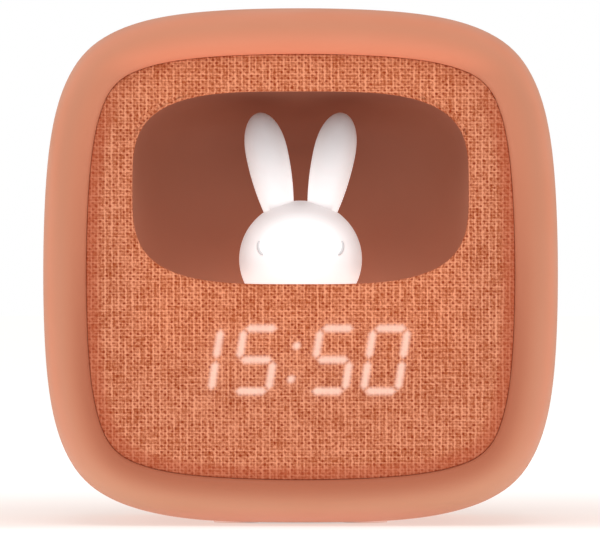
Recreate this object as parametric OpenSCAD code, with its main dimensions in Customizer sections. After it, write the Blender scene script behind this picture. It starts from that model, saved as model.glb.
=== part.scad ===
// Bedside alarm clock with a rabbit night light.
// A moulded housing wears a soft silicone jacket. Its front is a cloth-covered panel with a window,
// behind which a small lamp stands in a niche; the time shines through the cloth below it.
// X is across the front, the front faces -Y and Z is up. The feet stand on z = 0.

/* [Body] */
// Width over the jacket
body_w = 136; // [132:1:150]
// Height of the jacket, without the feet
body_h = 136; // [132:1:150]
// Depth from the front rim to the rear rim
body_d = 98; // [94:1:112]
// Squareness of the silhouette: 2 is an ellipse, higher is squarer
body_power = 3.85; // [3.4:0.05:4.5]
// Depth of the round from the front rim to the widest section
front_roll = 29; // [20:1:32]
// Depth of the round at the rear edge
rear_roll = 25; // [18:1:30]
// How much narrower each side is at the start of the rear round
rear_taper = 1.8; // [1:0.1:3]
// Thickness of the silicone jacket
jacket_wall = 2.2; // [1.8:0.1:2.6]
// Thickness of the housing wall
housing_wall = 2.4; // [1.8:0.1:3]
// Gap between pieces that fit into each other
fit_gap = 0.2; // [0.1:0.05:0.3]

/* [Feet] */
// How far a foot stands proud of the jacket
foot_h = 0.3; // [0.2:0.1:0.6]
// Radius of a foot
foot_r = 6; // [5:0.5:8]
// Distance of a foot from the middle plane
foot_x = 17; // [14:1:28]
// How deep a foot is set into the jacket
foot_seat = 1.3; // [1:0.1:1.5]

/* [Front panel] */
// Width of the jacket's rim around the panel
rim_w = 11.7; // [10:0.1:13]
// Squareness of the panel's outline
panel_power = 4.5; // [4:0.1:5.5]
// Width of the groove between the rim and the cloth
groove_w = 0.4; // [0.3:0.1:1.2]
// How far the cloth lies behind the rim
cloth_set = 1.5; // [0.8:0.1:2.5]
// Thickness of the cloth
cloth_t = 0.6; // [0.4:0.05:0.8]
// Thickness of the panel under the cloth
baffle_t = 3.5; // [3:0.1:4.5]
// Radius of the panel's front edge
panel_edge = 2; // [1.2:0.1:2.4]
// Width of the housing's ledge behind the panel
ledge_w = 4.6; // [3.6:0.1:5]
// Thickness of the ledge
ledge_t = 2; // [1.5:0.1:2.6]
// Radius of the pegs that hold the panel
peg_r = 1.2; // [1:0.1:1.5]

/* [Window] */
// Distance from the window to the side of the body
window_side = 23.8; // [23:0.1:26]
// Height of the window
window_h = 50.7; // [48:0.1:52]
// Squareness of the window
window_power = 3.5; // [3:0.1:4]
// Height of the window's centre above the middle of the body
window_up = 20.8; // [20:0.1:22]
// Radius of the window's front edge
window_edge = 1; // [0.6:0.1:1.4]

/* [Niche] */
// Depth of the niche behind the panel
niche_depth = 38; // [37:1:42]
// Wall of the niche
niche_wall = 1.6; // [1.2:0.1:2]
// How far the niche's floor lies below the window
niche_drop = 6.7; // [6:0.1:7.2]
// Width of the niche's flange
niche_flange = 2.6; // [2:0.1:3]

/* [Rabbit lamp] */
// Width of the head
head_w = 32.5; // [28:0.1:33.4]
// Height of the head as a whole ellipsoid
head_h = 31; // [29:0.1:33]
// Height of the head's centre above the middle of the body
head_up = 1.8; // [1:0.1:3]
// Distance from the panel's back to the lamp's axis
lamp_back = 17.4; // [17.2:0.1:19]
// Largest radius of an ear
ear_r = 5.55; // [4.5:0.05:6]
// Length of an ear along its axis, with the end that lies in the head
ear_l = 34; // [30:0.5:36]
// Distance of an ear's widest place from its tip
ear_peak = 11.6; // [10:0.5:15]
// Lean of the ears
ear_lean = 12; // [8:0.1:13]
// Distance of an ear's tip from the middle plane
ear_x = 11.2; // [9.5:0.1:11.5]
// Height of the ear tips above the head's centre
ear_up = 38.7; // [36:0.1:40]
// Wall of the lamp
lamp_wall = 1.8; // [1.4:0.1:2.2]
// Radius of the lamp's neck
neck_r = 7.6; // [6.5:0.1:8]
// Thickness of the collar below the floor
collar_h = 4.5; // [4:0.1:6]
// Wall of the collar
collar_wall = 1.6; // [1.2:0.1:2]

/* [Display] */
// Height of a digit
digit_h = 18.5; // [16:0.1:19]
// Distance between the middles of a digit's upright segments
digit_w = 9; // [7.5:0.1:9.4]
// Width of a segment
segment_t = 2; // [1.6:0.1:2.4]
// Gap between neighbouring segments
segment_gap = 0.35; // [0.25:0.05:0.5]
// Slant of the digits
slant = 9.2; // [5:0.1:12]
// Distance between the digits of the minutes
minute_pitch = 13.9; // [13.6:0.1:15]
// Distance between the digits of the hours
hour_pitch = 15.1; // [13.6:0.1:16]
// Distance between the last hour digit and the first minute digit
colon_pitch = 20.1; // [19.5:0.1:21]
// Place of the colon after the last hour digit
colon_x = 10; // [9.8:0.1:10.8]
// Height between the two colon dots
colon_h = 8.8; // [7:0.1:10]
// Depth of the display's centre below the middle of the body
display_down = 24.4; // [24:0.1:26]
// Depth of the segment wells
well_depth = 8.1; // [7:0.1:9]
// Border of the display around its digits
display_border = 2.2; // [1.8:0.1:2.4]

/* [Rear] */
// Width of the jacket's rim around the rear cover
rear_rim_w = 14.4; // [12:0.1:16]
// Thickness of the rear cover
cover_t = 2.5; // [2:0.1:3]
// How far the rear cover lies inside the rear rim
cover_set = 2; // [1.6:0.1:3]
// Radius of a cover screw's shank
screw_r = 1.4; // [1.2:0.1:1.6]
// Radius of a key cap
key_r = 5; // [4:0.1:5.4]
// Distance from the outer keys to the end of their board
key_edge = 5.5; // [5.4:0.1:8]
// Height of the keys above the middle of the cover
key_up = 38.5; // [37:0.1:39.5]
// How far a key stands out of the cover
key_proud = 1.2; // [0.8:0.1:1.5]
// Travel of a key
key_travel = 0.4; // [0.2:0.05:0.5]
// Gap around a key
key_gap = 0.2; // [0.1:0.05:0.3]
// Travel of the power slider
slider_travel = 2.5; // [1.5:0.1:3]
// Radius of the speaker
speaker_r = 14; // [12:0.1:15]
// Depth of the speaker with its magnet
speaker_d = 12.5; // [11:0.1:15]
// Height of the speaker above the middle of the cover
speaker_up = 8.5; // [7.5:0.1:9.5]
// Radius of a hole in the speaker grille
grille_hole_r = 0.8; // [0.6:0.05:1]
// Distance between grille holes
grille_pitch = 3.2; // [2.8:0.1:3.6]

/* [Boards and battery] */
// Thickness of a circuit board
board_t = 1.6; // [1:0.1:1.6]
// Distance from the rear cover to the boards behind it
board_back = 8.9; // [8.6:0.1:10]
// Distance from the main board to the side of the body
main_board_side = 30; // [29.5:0.5:32]
// Height of the main board
main_board_h = 36; // [34:0.5:37]
// Distance from the key board to the side of the body
key_board_side = 30.5; // [29.5:0.5:31]
// Height of the key board
key_board_h = 21; // [20:0.5:22]
// Distance from the battery to the end of the main board
battery_side = 12; // [11:0.5:18]
// Height of the battery
battery_h = 28; // [20:0.5:28.5]
// Thickness of the battery
battery_t = 6.5; // [5:0.1:8]
// Wall of the battery holder
holder_wall = 1.2; // [1:0.1:1.5]

/* [Hidden] */
$fn = 48;

// Steps around and along the swept shells
around = 64;
window_around = 64;
front_steps = 8;
rear_steps = 6;
inner_steps = 4;
nose_steps = 3;
bowl_steps = 11;

// The body: its outline shrinks by an inset from the widest section
front_y = -body_d / 2;
rear_y = body_d / 2;
front_roll_y = front_y + front_roll;
rear_roll_y = rear_y - rear_roll;
middle_z = foot_h + body_h / 2;
rear_middle_z = middle_z - rear_taper;
nose_r = 0.7 * jacket_wall;

// The front panel, from the cloth back to the ledge
cloth_y = front_y + cloth_set;
baffle_front_y = cloth_y + cloth_t + 0.05;
baffle_back_y = baffle_front_y + baffle_t;
ledge_back_y = baffle_back_y + ledge_t;
cloth_inset = rim_w + groove_w;
baffle_inset = cloth_inset + cloth_t + 0.05;
ledge_inset = baffle_inset + ledge_w;
jacket_lip_y = baffle_back_y - fit_gap;

// The window and the niche behind it
window_w = body_w - 2 * window_side;
window_z = middle_z + window_up;
mouth_gap = 0.2;
niche_rim = niche_wall + niche_flange;
floor_z = window_z - window_h / 2 - niche_drop;
floor_under_z = floor_z - niche_wall;
bowl_fall = 12;
bowl_power = 0.4;
bowl_low = 1.8 * niche_drop;
last_bowl_angle = 82;

// The lamp
lamp_y = baffle_back_y + lamp_back;
head_z = middle_z + head_up;
neck_gap = 0.1;
neck_hole_r = neck_r + neck_gap;
neck_bottom_z = floor_under_z - collar_h + 0.3;
night_board_top_z = floor_under_z - collar_h;
night_board_t = 1.2;
night_board_w = 26;
led_h = 0.8;

// The display: place of each digit and of the colon, from the display's centre
display_z = middle_z - display_down;
digits_w = hour_pitch + colon_pitch + minute_pitch;
display_shift = -2.2;
digit_x = [display_shift - digits_w / 2, display_shift - digits_w / 2 + hour_pitch,
    display_shift + digits_w / 2 - minute_pitch, display_shift + digits_w / 2];
colon_mid_x = digit_x[1] + colon_x;
colon_down = 0.7;
display_half_w = digits_w / 2 + digit_w / 2 + segment_t / 2 + tan(slant) * digit_h / 2 + display_border;
display_half_h = digit_h / 2 + display_border;
reflector_front_y = cloth_y + cloth_t + 0.35;
film_t = 0.25;
reflector_back_y = reflector_front_y + well_depth;
reflector_flange = 2;
flange_t = 1.2;
display_led = [1.6, 0.7, 0.9];

// The rear cover and what it carries
cover_inset = rear_rim_w + 0.4;
cover_out_y = rear_y - cover_set;
cover_in_y = cover_out_y - cover_t;
cover_half_w = body_w / 2 - cover_inset;
cover_half_h = body_h / 2 - cover_inset;
jacket_rear_lip_y = cover_in_y - 1;
screw_x = cover_half_w - 10.2;
screw_z = cover_half_h - 15.2;
screw_boss_r = screw_r + 2.4;
screw_head_r = 2.1 * screw_r;
screw_head_h = 1.2;
screw_pocket = 1.3;
screw_l = 12;
boss_l = 34;
rib_w = 2.4;
rib_l = 16;
board_rear_y = cover_in_y - board_back;
key_board_w = body_w - 2 * key_board_side;
key_pitch = (key_board_w - 2 * key_edge) / 4;
board_front_y = board_rear_y - board_t;
key_z = rear_middle_z + key_up;
key_x = [for (i = [-2:2]) i * key_pitch];
key_flange_r = key_r + 1.2;
key_flange_t = 1;
key_stem_r = 1.6;
tact_w = 6;
tact_h = 3.5;
plunger_r = 1.7;
plunger_gap = 0.05;
plunger_proud = 1.5;
plunger_in = 2.1;
plunger_top_y = board_rear_y + tact_h + plunger_proud;
grille_rings = 3;
speaker_z = rear_middle_z + speaker_up;
gasket_t = 0.8;
speaker_face_y = cover_in_y - gasket_t;
speaker_rim = 2.2;
magnet_r = 0.57 * speaker_r;
magnet_h = 0.4 * speaker_d;
basket_back_y = speaker_face_y - speaker_d + magnet_h;
speaker_wall_gap = 0.2;
speaker_wall = 1.2;
speaker_wall_h = 3;

// The boards
main_board_w = body_w - 2 * main_board_side;
main_board_down = 27.5;
main_board_z = rear_middle_z - main_board_down;
battery_w = main_board_w - 2 * battery_side;
post_r = 2.3;
post_edge = 4;
board_screw_r = 0.9;
board_screw_head_r = 1.8;
board_screw_head_h = 1.3;
board_screw_l = 5;
key_post_x = 1.5 * key_pitch;
key_post_z = key_board_h / 2 - 3;
main_post_x = main_board_w / 2 - post_edge;
main_post_z = main_board_h / 2 - post_edge;
usb_z = main_board_z - main_board_h / 2 + 8.5;
usb_w = 8.94;
usb_h = 3.26;
usb_shell = 0.35;
usb_gap = 0.2;
usb_back_w = 10.4;
usb_back_h = 4.8;
usb_back_l = 3;
slider_in = 16;
slider_x = main_board_w / 2 - slider_in;
slider_stem_w = 3;
slider_stem_h = 2;
slider_pad_w = 4.4;
slider_pad_h = 3.2;
slider_pad_t = 1.6;
slider_gap = 0.2;
switch_w = 10.5;
switch_h = 4.4;
switch_d = 4;
switch_floor = 1.2;
holder_depth = battery_t + 1.4;
holder_gap = 0.1;
holder_front_y = board_front_y - holder_wall - holder_depth;

// ---- Helpers ----

function clamp(v, low, high) = min(max(v, low), high);

// A point of a superellipse at the angle a
function round_point(half_w, half_h, power, a) =
    let (r = pow(pow(abs(cos(a)) / half_w, power) + pow(abs(sin(a)) / half_h, power), -1 / power))
    [r * cos(a), r * sin(a)];

function outline(half_w, half_h, power, count) =
    [for (i = [0:count - 1]) round_point(half_w, half_h, power, 360 * i / count)];

function ring(half_w, half_h, power, y, z, count) =
    [for (p = outline(half_w, half_h, power, count)) [p[0], y, z + p[1]]];

// Height of the middle of the section at y: the underside stays flat while the sides taper
function mid_z(y) = middle_z - rear_taper * clamp((y - front_roll_y) / (rear_roll_y - front_roll_y), 0, 1);

function power_at(inset) = body_power + (panel_power - body_power) * clamp(inset / rim_w, 0, 1);

function body_ring(inset, y) =
    ring(body_w / 2 - inset, body_h / 2 - inset, power_at(inset), y, mid_z(y), around);

// Quarter ellipses between two [inset, y] points, the first of which lies on the face
function round_off(face, side, steps) = [for (i = [1:steps]) let (a = 90 * i / steps)
    [face[0] + (side[0] - face[0]) * sin(a), side[1] + (face[1] - side[1]) * cos(a)]];
function round_on(side, face, steps) = [for (i = [0:steps - 1]) let (a = 90 * i / steps)
    [side[0] + (face[0] - side[0]) * (1 - cos(a)), side[1] + (face[1] - side[1]) * sin(a)]];

// Skins a row of rings; a looped row closes on itself, an open one gets an end face at each end
module skin(rings, looped) {
    n = len(rings[0]);
    m = len(rings);
    last = looped ? m - 1 : m - 2;
    sides = [for (i = [0:last], j = [0:n - 1])
        let (a = i * n, b = ((i + 1) % m) * n, k = (j + 1) % n)
        each [[a + j, b + k, b + j], [a + j, a + k, b + k]]];
    ends = looped ? [] : [[for (j = [n - 1:-1:0]) j], [for (j = [0:n - 1]) (m - 1) * n + j]];
    polyhedron(points = [for (r = rings) each r], faces = concat(sides, ends), convexity = 10);
}

// Extrudes a drawing of the XZ plane from y0 to y1
module plate(y0, y1) {
    translate([0, y1, 0]) rotate([90, 0, 0]) linear_extrude(y1 - y0) children();
}

// A rod along Y, with its axis at x, z
module rod(x, z, r, y0, y1) {
    translate([x, y1, z]) rotate([90, 0, 0]) cylinder(r = r, h = y1 - y0);
}

// A turned piece about an axis along Y; its profile holds [radius, y] points
module turned(x, z, profile) {
    translate([x, 0, z]) rotate([-90, 0, 0]) rotate_extrude() polygon(profile);
}

// A box centred on x, z
module block(x, z, w, h, y0, y1) {
    translate([x - w / 2, y0, z - h / 2]) cube([w, y1 - y0, h]);
}

module stadium(x, z, w, h) {
    translate([x, z]) {
        square([w - h, h], center = true);
        for (s = [-1, 1]) translate([s * (w - h) / 2, 0]) circle(d = h);
    }
}

module both_sides() {
    children();
    mirror([1, 0, 0]) children();
}

// ---- Shell ----

// The jacket wraps the housing from the groove in front to the rear cover
jacket_profile = concat(
    [[rim_w, jacket_lip_y]],
    [for (i = [0:nose_steps]) let (a = 90 * i / nose_steps)
        [rim_w - nose_r * (1 - cos(a)), front_y + nose_r * (1 - sin(a))]],
    round_off([rim_w - nose_r, front_y], [0, front_roll_y], front_steps),
    round_on([rear_taper, rear_roll_y], [rear_rim_w - nose_r, rear_y], rear_steps),
    [for (i = [0:nose_steps]) let (a = 90 * i / nose_steps)
        [rear_rim_w - nose_r * (1 - sin(a)), rear_y - nose_r * (1 - cos(a))]],
    [[rear_rim_w, jacket_rear_lip_y], [rear_rim_w - jacket_wall, jacket_rear_lip_y],
        [rear_rim_w - jacket_wall, rear_y - jacket_wall]],
    round_off([rear_rim_w - jacket_wall, rear_y - jacket_wall],
        [rear_taper + jacket_wall, rear_roll_y], inner_steps),
    round_on([jacket_wall, front_roll_y], [rim_w - jacket_wall, front_y + jacket_wall], inner_steps),
    [[rim_w - jacket_wall, front_y + jacket_wall], [rim_w - jacket_wall, jacket_lip_y]]);

module silicone_jacket() {
    color("#d88a66") difference() {
        skin([for (p = jacket_profile) body_ring(p[0], p[1])], true);
        foot_places() translate([0, 0, -1]) cylinder(r = foot_r + 0.1, h = 1 + foot_h + foot_seat + 0.05);
    }
}

module foot_places() {
    both_sides() for (y = [front_roll_y + foot_r, rear_roll_y - foot_r]) translate([foot_x, y, 0]) children();
}

module foot_pads() {
    color("#7d4a36") foot_places() cylinder(r = foot_r, h = foot_h + foot_seat);
}

// The housing: a ring-shaped shell with a ledge for the panel and four posts for the rear cover
shell_in = jacket_wall + fit_gap;
housing_profile = concat(
    [[rim_w - shell_in, front_y + shell_in]],
    round_off([rim_w - shell_in, front_y + shell_in], [shell_in, front_roll_y], inner_steps),
    round_on([rear_taper + shell_in, rear_roll_y], [rear_rim_w - shell_in, rear_y - shell_in], inner_steps),
    [[rear_rim_w - shell_in, rear_y - shell_in], [rear_rim_w - shell_in, rear_y - shell_in - housing_wall]],
    round_off([rear_rim_w - shell_in, rear_y - shell_in - housing_wall],
        [rear_taper + shell_in + housing_wall, rear_roll_y], inner_steps),
    round_on([shell_in + housing_wall, front_roll_y], [rim_w - shell_in, ledge_back_y], inner_steps),
    [[rim_w - shell_in, ledge_back_y], [ledge_inset, ledge_back_y], [ledge_inset, baffle_back_y],
        [rim_w - shell_in, baffle_back_y]]);

module screw_places() {
    both_sides() for (s = [-1, 1]) translate([screw_x, 0, rear_middle_z + s * screw_z]) children();
}

boss_front_y = cover_in_y - boss_l;
wall_half = body_w / 2 - rear_taper - shell_in - housing_wall / 2;
boss_angle = atan2(screw_z, screw_x);
rib_reach = norm(round_point(wall_half, wall_half + (body_h - body_w) / 2,
    power_at(rear_taper + shell_in), boss_angle)) - norm([screw_x, screw_z]);

module front_housing() {
    color("#e6e2da") difference() {
        union() {
            skin([for (p = housing_profile) body_ring(p[0], p[1])], true);
            screw_places() rod(0, 0, screw_boss_r, boss_front_y, cover_in_y);
            both_sides() for (s = [-1, 1]) translate([screw_x, boss_front_y, rear_middle_z + s * screw_z])
                rotate([0, -s * boss_angle, 0]) translate([0, 0, -rib_w / 2]) cube([rib_reach, rib_l, rib_w]);
        }
        screw_places() rod(0, 0, screw_r + 0.05, cover_in_y - screw_l - 1, cover_in_y + 1);
        peg_places() rod(0, 0, peg_r + 0.05, baffle_back_y - 1, ledge_back_y + 1);
        translate([0, 0, window_z]) plate(baffle_back_y - 0.1, ledge_back_y + 1)
            polygon(outline(window_w / 2 + niche_rim + fit_gap, window_h / 2 + niche_rim + fit_gap,
                window_power, window_around));
    }
}

// Pegs of the panel, in the middle of the ledge at its corners
module peg_places() {
    inset = baffle_inset + ledge_w / 2;
    p = round_point(body_w / 2 - inset, body_h / 2 - inset, panel_power, 45);
    both_sides() for (s = [-1, 1]) translate([p[0], 0, middle_z + s * p[1]]) children();
}

// ---- Front panel ----

// A ring of the panel and a ring of its window, at the same number of points
function panel_ring(inset, y) = ring(body_w / 2 - inset, body_h / 2 - inset, panel_power, y, middle_z,
    window_around);
function window_ring(grow, y) = ring(window_w / 2 + grow, window_h / 2 + grow, window_power, y, window_z,
    window_around);

// Rounded edges, as [inset, depth] from the corner of the edge
function edge(r) = [for (i = [0:3]) [r * (1 - cos(30 * i)), r * (1 - sin(30 * i))]];

module front_baffle() {
    edge_r = panel_edge - cloth_t / 2;
    hole = cloth_t + 0.05;
    color("#cfc8bd") difference() {
        union() {
            skin(concat(
                [window_ring(hole, baffle_back_y)],
                [for (e = edge(window_edge)) window_ring(hole + e[0], baffle_front_y + e[1])],
                [for (i = [3:-1:0]) let (e = edge(edge_r)[i]) panel_ring(baffle_inset + e[0], baffle_front_y + e[1])],
                [panel_ring(baffle_inset, baffle_back_y)]), true);
            peg_places() {
                rod(0, 0, peg_r, baffle_back_y - 1, ledge_back_y + 0.5);
                rod(0, 0, 1.7 * peg_r, ledge_back_y, ledge_back_y + 0.8);
            }
        }
        block(display_shift, display_z, 2 * (display_half_w + 0.2), 2 * (display_half_h + 0.2),
            baffle_front_y - 1, baffle_back_y + 1);
    }
}

// Cloth stretched over the panel and turned in at its outer edge and at the window
module grille_cloth() {
    out_r = panel_edge + cloth_t / 2;
    in_r = panel_edge - cloth_t / 2;
    end_y = baffle_back_y - 0.2;
    under_y = cloth_y + cloth_t;
    color("#cf7450") skin(concat(
        [panel_ring(cloth_inset + cloth_t, end_y)],
        [for (e = edge(in_r)) panel_ring(cloth_inset + cloth_t + e[0], under_y + e[1])],
        [for (i = [3:-1:0]) let (e = edge(window_edge)[i]) window_ring(cloth_t + e[0], under_y + e[1])],
        [window_ring(cloth_t, end_y), window_ring(0, end_y)],
        [for (e = edge(window_edge + cloth_t)) window_ring(e[0], cloth_y + e[1])],
        [for (i = [3:-1:0]) let (e = edge(out_r)[i]) panel_ring(cloth_inset + e[0], cloth_y + e[1])],
        [panel_ring(cloth_inset, end_y)]), true);
}

// ---- Niche and lamp ----

// A ring of the niche's bowl at the angle a; the outside is grown by the wall, and the floor is flat
function bowl_ring(a, wall) =
    let (k = pow(cos(a), bowl_power),
        y = baffle_back_y + (niche_depth + wall) * sin(a),
        half_w = (window_w / 2 + mouth_gap + wall) * k,
        top = (window_h / 2 + mouth_gap + wall) * k,
        low = (window_h / 2 + mouth_gap + wall + bowl_low * min(1, a / bowl_fall)) * k)
    [for (i = [0:window_around - 1])
        let (t = 360 * i / window_around, p = round_point(half_w, t > 180 ? low : top, window_power, t))
        [p[0], y, window_z + max(p[1], floor_z - wall - window_z)]];

module light_niche() {
    flange_back_y = baffle_back_y + niche_wall;
    first = asin(niche_wall / (niche_depth + niche_wall));
    color("#8a4b38") difference() {
        skin(concat(
            [for (i = [bowl_steps:-1:0]) bowl_ring(last_bowl_angle * i / bowl_steps, 0)],
            [window_ring(niche_rim, baffle_back_y), window_ring(niche_rim, flange_back_y)],
            [bowl_ring(first, niche_wall)],
            [for (i = [1:bowl_steps]) bowl_ring(last_bowl_angle * i / bowl_steps, niche_wall)]), false);
        translate([0, lamp_y, floor_z - 2 * niche_wall]) cylinder(r = neck_hole_r, h = 3 * niche_wall);
    }
}

// Half outline of the head, cut flat where it stands on the floor
module head_turned(shrink, cut_z) {
    a = head_w / 2 - shrink;
    b = head_h / 2 - shrink;
    first = -asin((head_z - cut_z) / b);
    translate([0, lamp_y, head_z]) rotate_extrude()
        polygon(concat([[0, cut_z - head_z]],
            [for (i = [0:18]) let (t = first + (90 - first) * i / 18) [a * cos(t), b * sin(t)]]));
}

function ear_radius(u) = u < ear_peak
    ? ear_r * sqrt(max(0, 1 - pow((ear_peak - u) / ear_peak, 2.3)))
    : ear_r * (1 - pow((u - ear_peak) / 27.8, 2));

// An ear turned about its own axis, from its tip down into the head
module ear(shrink) {
    us = concat([for (i = [0:6]) shrink + (ear_peak - shrink) * (1 - cos(15 * i))],
        [for (i = [1:5]) ear_peak + (ear_l - ear_peak) * i / 5]);
    translate([ear_x, lamp_y, head_z + ear_up]) rotate([0, 180 + ear_lean, 0]) rotate_extrude()
        polygon(concat([for (u = us) [max(0, ear_radius(u) - (u > shrink ? shrink : ear_r)), u]], [[0, ear_l]]));
}

module rabbit_lamp() {
    color("white") difference() {
        union() {
            head_turned(0, floor_z);
            both_sides() ear(0);
            translate([0, lamp_y, neck_bottom_z]) cylinder(r = neck_r, h = floor_z - neck_bottom_z + 1);
        }
        head_turned(lamp_wall, floor_z + 1);
        both_sides() ear(lamp_wall);
        translate([0, lamp_y, neck_bottom_z - 1])
            cylinder(r = neck_r - lamp_wall, h = floor_z - neck_bottom_z + 3);
    }
}

// The collar clamps the neck below the floor and carries the lamp's board
module lamp_collar() {
    color("#d9d4ca") translate([0, lamp_y, floor_under_z - collar_h]) difference() {
        cylinder(r = neck_hole_r + collar_wall, h = collar_h);
        translate([0, 0, -1]) cylinder(r = neck_hole_r, h = collar_h + 2);
    }
}

module night_light_board() {
    depth = 2 * (neck_hole_r + collar_wall);
    color("#2f6b45") translate([-night_board_w / 2, lamp_y - depth / 2, night_board_top_z - night_board_t])
        cube([night_board_w, depth, night_board_t]);
}

module night_light_leds() {
    side = 2.8;
    color("#f4e9b8") for (a = [45:90:315])
        translate([0.5 * neck_r * cos(a), lamp_y + 0.5 * neck_r * sin(a), night_board_top_z])
            translate([-side / 2, -side / 2, 0]) cube([side, side, led_h]);
}

// ---- Display ----

// A bar with pointed ends, level or upright
module bar(l, t, upright) {
    h = t / 2;
    p = [[-l / 2, 0], [-l / 2 + h, -h], [l / 2 - h, -h], [l / 2, 0], [l / 2 - h, h], [-l / 2 + h, h]];
    polygon(upright ? [for (q = p) [q[1] + tan(slant) * q[0], q[0]]] : [for (q = p) [q[0] + tan(slant) * q[1], q[1]]]);
}

row_h = (digit_h - segment_t) / 2;
// Middle of each segment of a digit as [across, up, upright]
segments = [[0, row_h, false], [0, 0, false], [0, -row_h, false],
    [-digit_w / 2, row_h / 2, true], [digit_w / 2, row_h / 2, true],
    [-digit_w / 2, -row_h / 2, true], [digit_w / 2, -row_h / 2, true]];
colon_dots = [for (s = [-1, 1]) [colon_mid_x + tan(slant) * (s * colon_h / 2 - colon_down),
    display_z + s * colon_h / 2 - colon_down]];

module segment_places() {
    for (x = digit_x, s = segments) translate([x + s[0] + tan(slant) * s[1], display_z + s[1]])
        bar((s[2] ? row_h : digit_w) - 2 * segment_gap, segment_t, s[2]);
}

module display_reflector() {
    color("#f2efe8") difference() {
        union() {
            block(display_shift, display_z, 2 * display_half_w, 2 * display_half_h, reflector_front_y,
                reflector_back_y);
            block(display_shift, display_z, 2 * (display_half_w + reflector_flange), 2 * display_half_h,
                baffle_back_y, baffle_back_y + flange_t);
            for (s = [-1, 1]) block(display_shift, display_z + s * (display_half_h + 0.5), 12, 3,
                baffle_back_y, baffle_back_y + flange_t);
        }
        plate(reflector_front_y - 1, reflector_back_y + 1) {
            segment_places();
            for (d = colon_dots) translate(d) circle(d = segment_t);
        }
    }
}

module display_film() {
    color("#fff6ee") block(display_shift, display_z, 2 * display_half_w, 2 * display_half_h,
        reflector_front_y - film_t, reflector_front_y);
}

module display_board() {
    color("#2f6b45") block(display_shift, display_z, 2 * display_half_w, 2 * display_half_h,
        reflector_back_y, reflector_back_y + board_t);
}

module display_leds() {
    color("#f4e9b8") {
        for (x = digit_x, s = segments)
            block(x + s[0] + tan(slant) * s[1], display_z + s[1], s[2] ? display_led[2] : display_led[0],
                s[2] ? display_led[0] : display_led[2], reflector_back_y - display_led[1], reflector_back_y);
        for (d = colon_dots)
            block(d[0], d[1], display_led[2], display_led[2], reflector_back_y - display_led[1], reflector_back_y);
    }
}

// ---- Rear cover and keys ----

module rear_cover() {
    color("#d98f6c") difference() {
        union() {
            translate([0, 0, rear_middle_z]) plate(cover_in_y, cover_out_y)
                polygon(outline(cover_half_w, cover_half_h, panel_power, around));
            turned(0, speaker_z, [[speaker_r + speaker_wall_gap, cover_in_y + 0.5],
                [speaker_r + speaker_wall_gap, cover_in_y - speaker_wall_h],
                [speaker_r + speaker_wall_gap + speaker_wall, cover_in_y - speaker_wall_h],
                [speaker_r + speaker_wall_gap + speaker_wall, cover_in_y + 0.5]]);
            post_places() rod(0, 0, post_r, board_rear_y, cover_in_y + 0.5);
        }
        for (x = key_x) rod(x, key_z, key_r + key_gap, cover_in_y - 1, cover_out_y + 1);
        screw_places() {
            rod(0, 0, screw_r + 0.2, cover_in_y - 1, cover_out_y + 1);
            rod(0, 0, screw_head_r + 0.15, cover_out_y - screw_pocket, cover_out_y + 1);
        }
        grille_places() rod(0, 0, grille_hole_r, cover_in_y - 1, cover_out_y + 1);
        plate(cover_in_y - 1, cover_out_y + 1) {
            stadium(0, usb_z, usb_w + 2 * usb_gap, usb_h + 2 * usb_gap);
            stadium(slider_x, usb_z, slider_pad_w + slider_travel + 2 * slider_gap + 0.8,
                slider_pad_h + 2 * slider_gap);
        }
        post_places() rod(0, 0, board_screw_r + 0.03, board_rear_y - 1, board_rear_y + board_screw_l);
    }
}

module grille_places() {
    for (i = [-grille_rings:grille_rings], j = [-grille_rings:grille_rings])
        if (abs(i + j) <= grille_rings)
            translate([grille_pitch * (i + j / 2), 0, speaker_z + grille_pitch * j * sin(60)]) children();
}

module post_places() {
    both_sides() for (s = [-1, 1]) {
        translate([key_post_x, 0, key_z + s * key_post_z]) children();
        translate([main_post_x, 0, main_board_z + s * main_post_z]) children();
    }
}

module key(x) {
    top = cover_out_y + key_proud;
    low = cover_in_y - 0.2 - key_flange_t;
    color("#c8714e") turned(x, key_z, [[0, plunger_top_y], [key_stem_r, plunger_top_y], [key_stem_r, low],
        [key_flange_r, low], [key_flange_r, low + key_flange_t], [key_r, low + key_flange_t],
        [key_r, top - 0.6], [key_r - 0.2, top - 0.2], [key_r - 0.7, top], [key_r - 2.4, top - 0.25], [0, top - 0.4]]);
}

module plunger(x) {
    color("#2b2b2b") rod(x, key_z, plunger_r, plunger_top_y - plunger_proud - plunger_in, plunger_top_y);
}

module key_light() key(key_x[0]);
module key_clock() key(key_x[1]);
module key_alarm() key(key_x[2]);
module key_plus() key(key_x[3]);
module key_minus() key(key_x[4]);
module plunger_light() plunger(key_x[0]);
module plunger_clock() plunger(key_x[1]);
module plunger_alarm() plunger(key_x[2]);
module plunger_plus() plunger(key_x[3]);
module plunger_minus() plunger(key_x[4]);

module tact_switches() {
    depth = plunger_in + key_travel + 0.2;
    color("#3a3a3c") for (x = key_x) difference() {
        block(x, key_z, tact_w, tact_w, board_rear_y, board_rear_y + tact_h);
        rod(x, key_z, plunger_r + plunger_gap, board_rear_y + tact_h - depth, board_rear_y + tact_h + 1);
    }
}

module screw(head_r, head_h, r, l) {
    difference() {
        union() {
            rod(0, 0, head_r, 0, head_h);
            rod(0, 0, r, -l, 0.5);
        }
        for (a = [0, 90]) rotate([0, a, 0]) block(0, 0, 1.3 * head_r, 0.3 * head_r, 0.45 * head_h, head_h + 1);
    }
}

module cover_screws() {
    color("#8d8f92") screw_places() translate([0, cover_out_y - screw_pocket, 0])
        screw(screw_head_r, screw_head_h, screw_r, screw_l);
}

// ---- Boards ----

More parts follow.
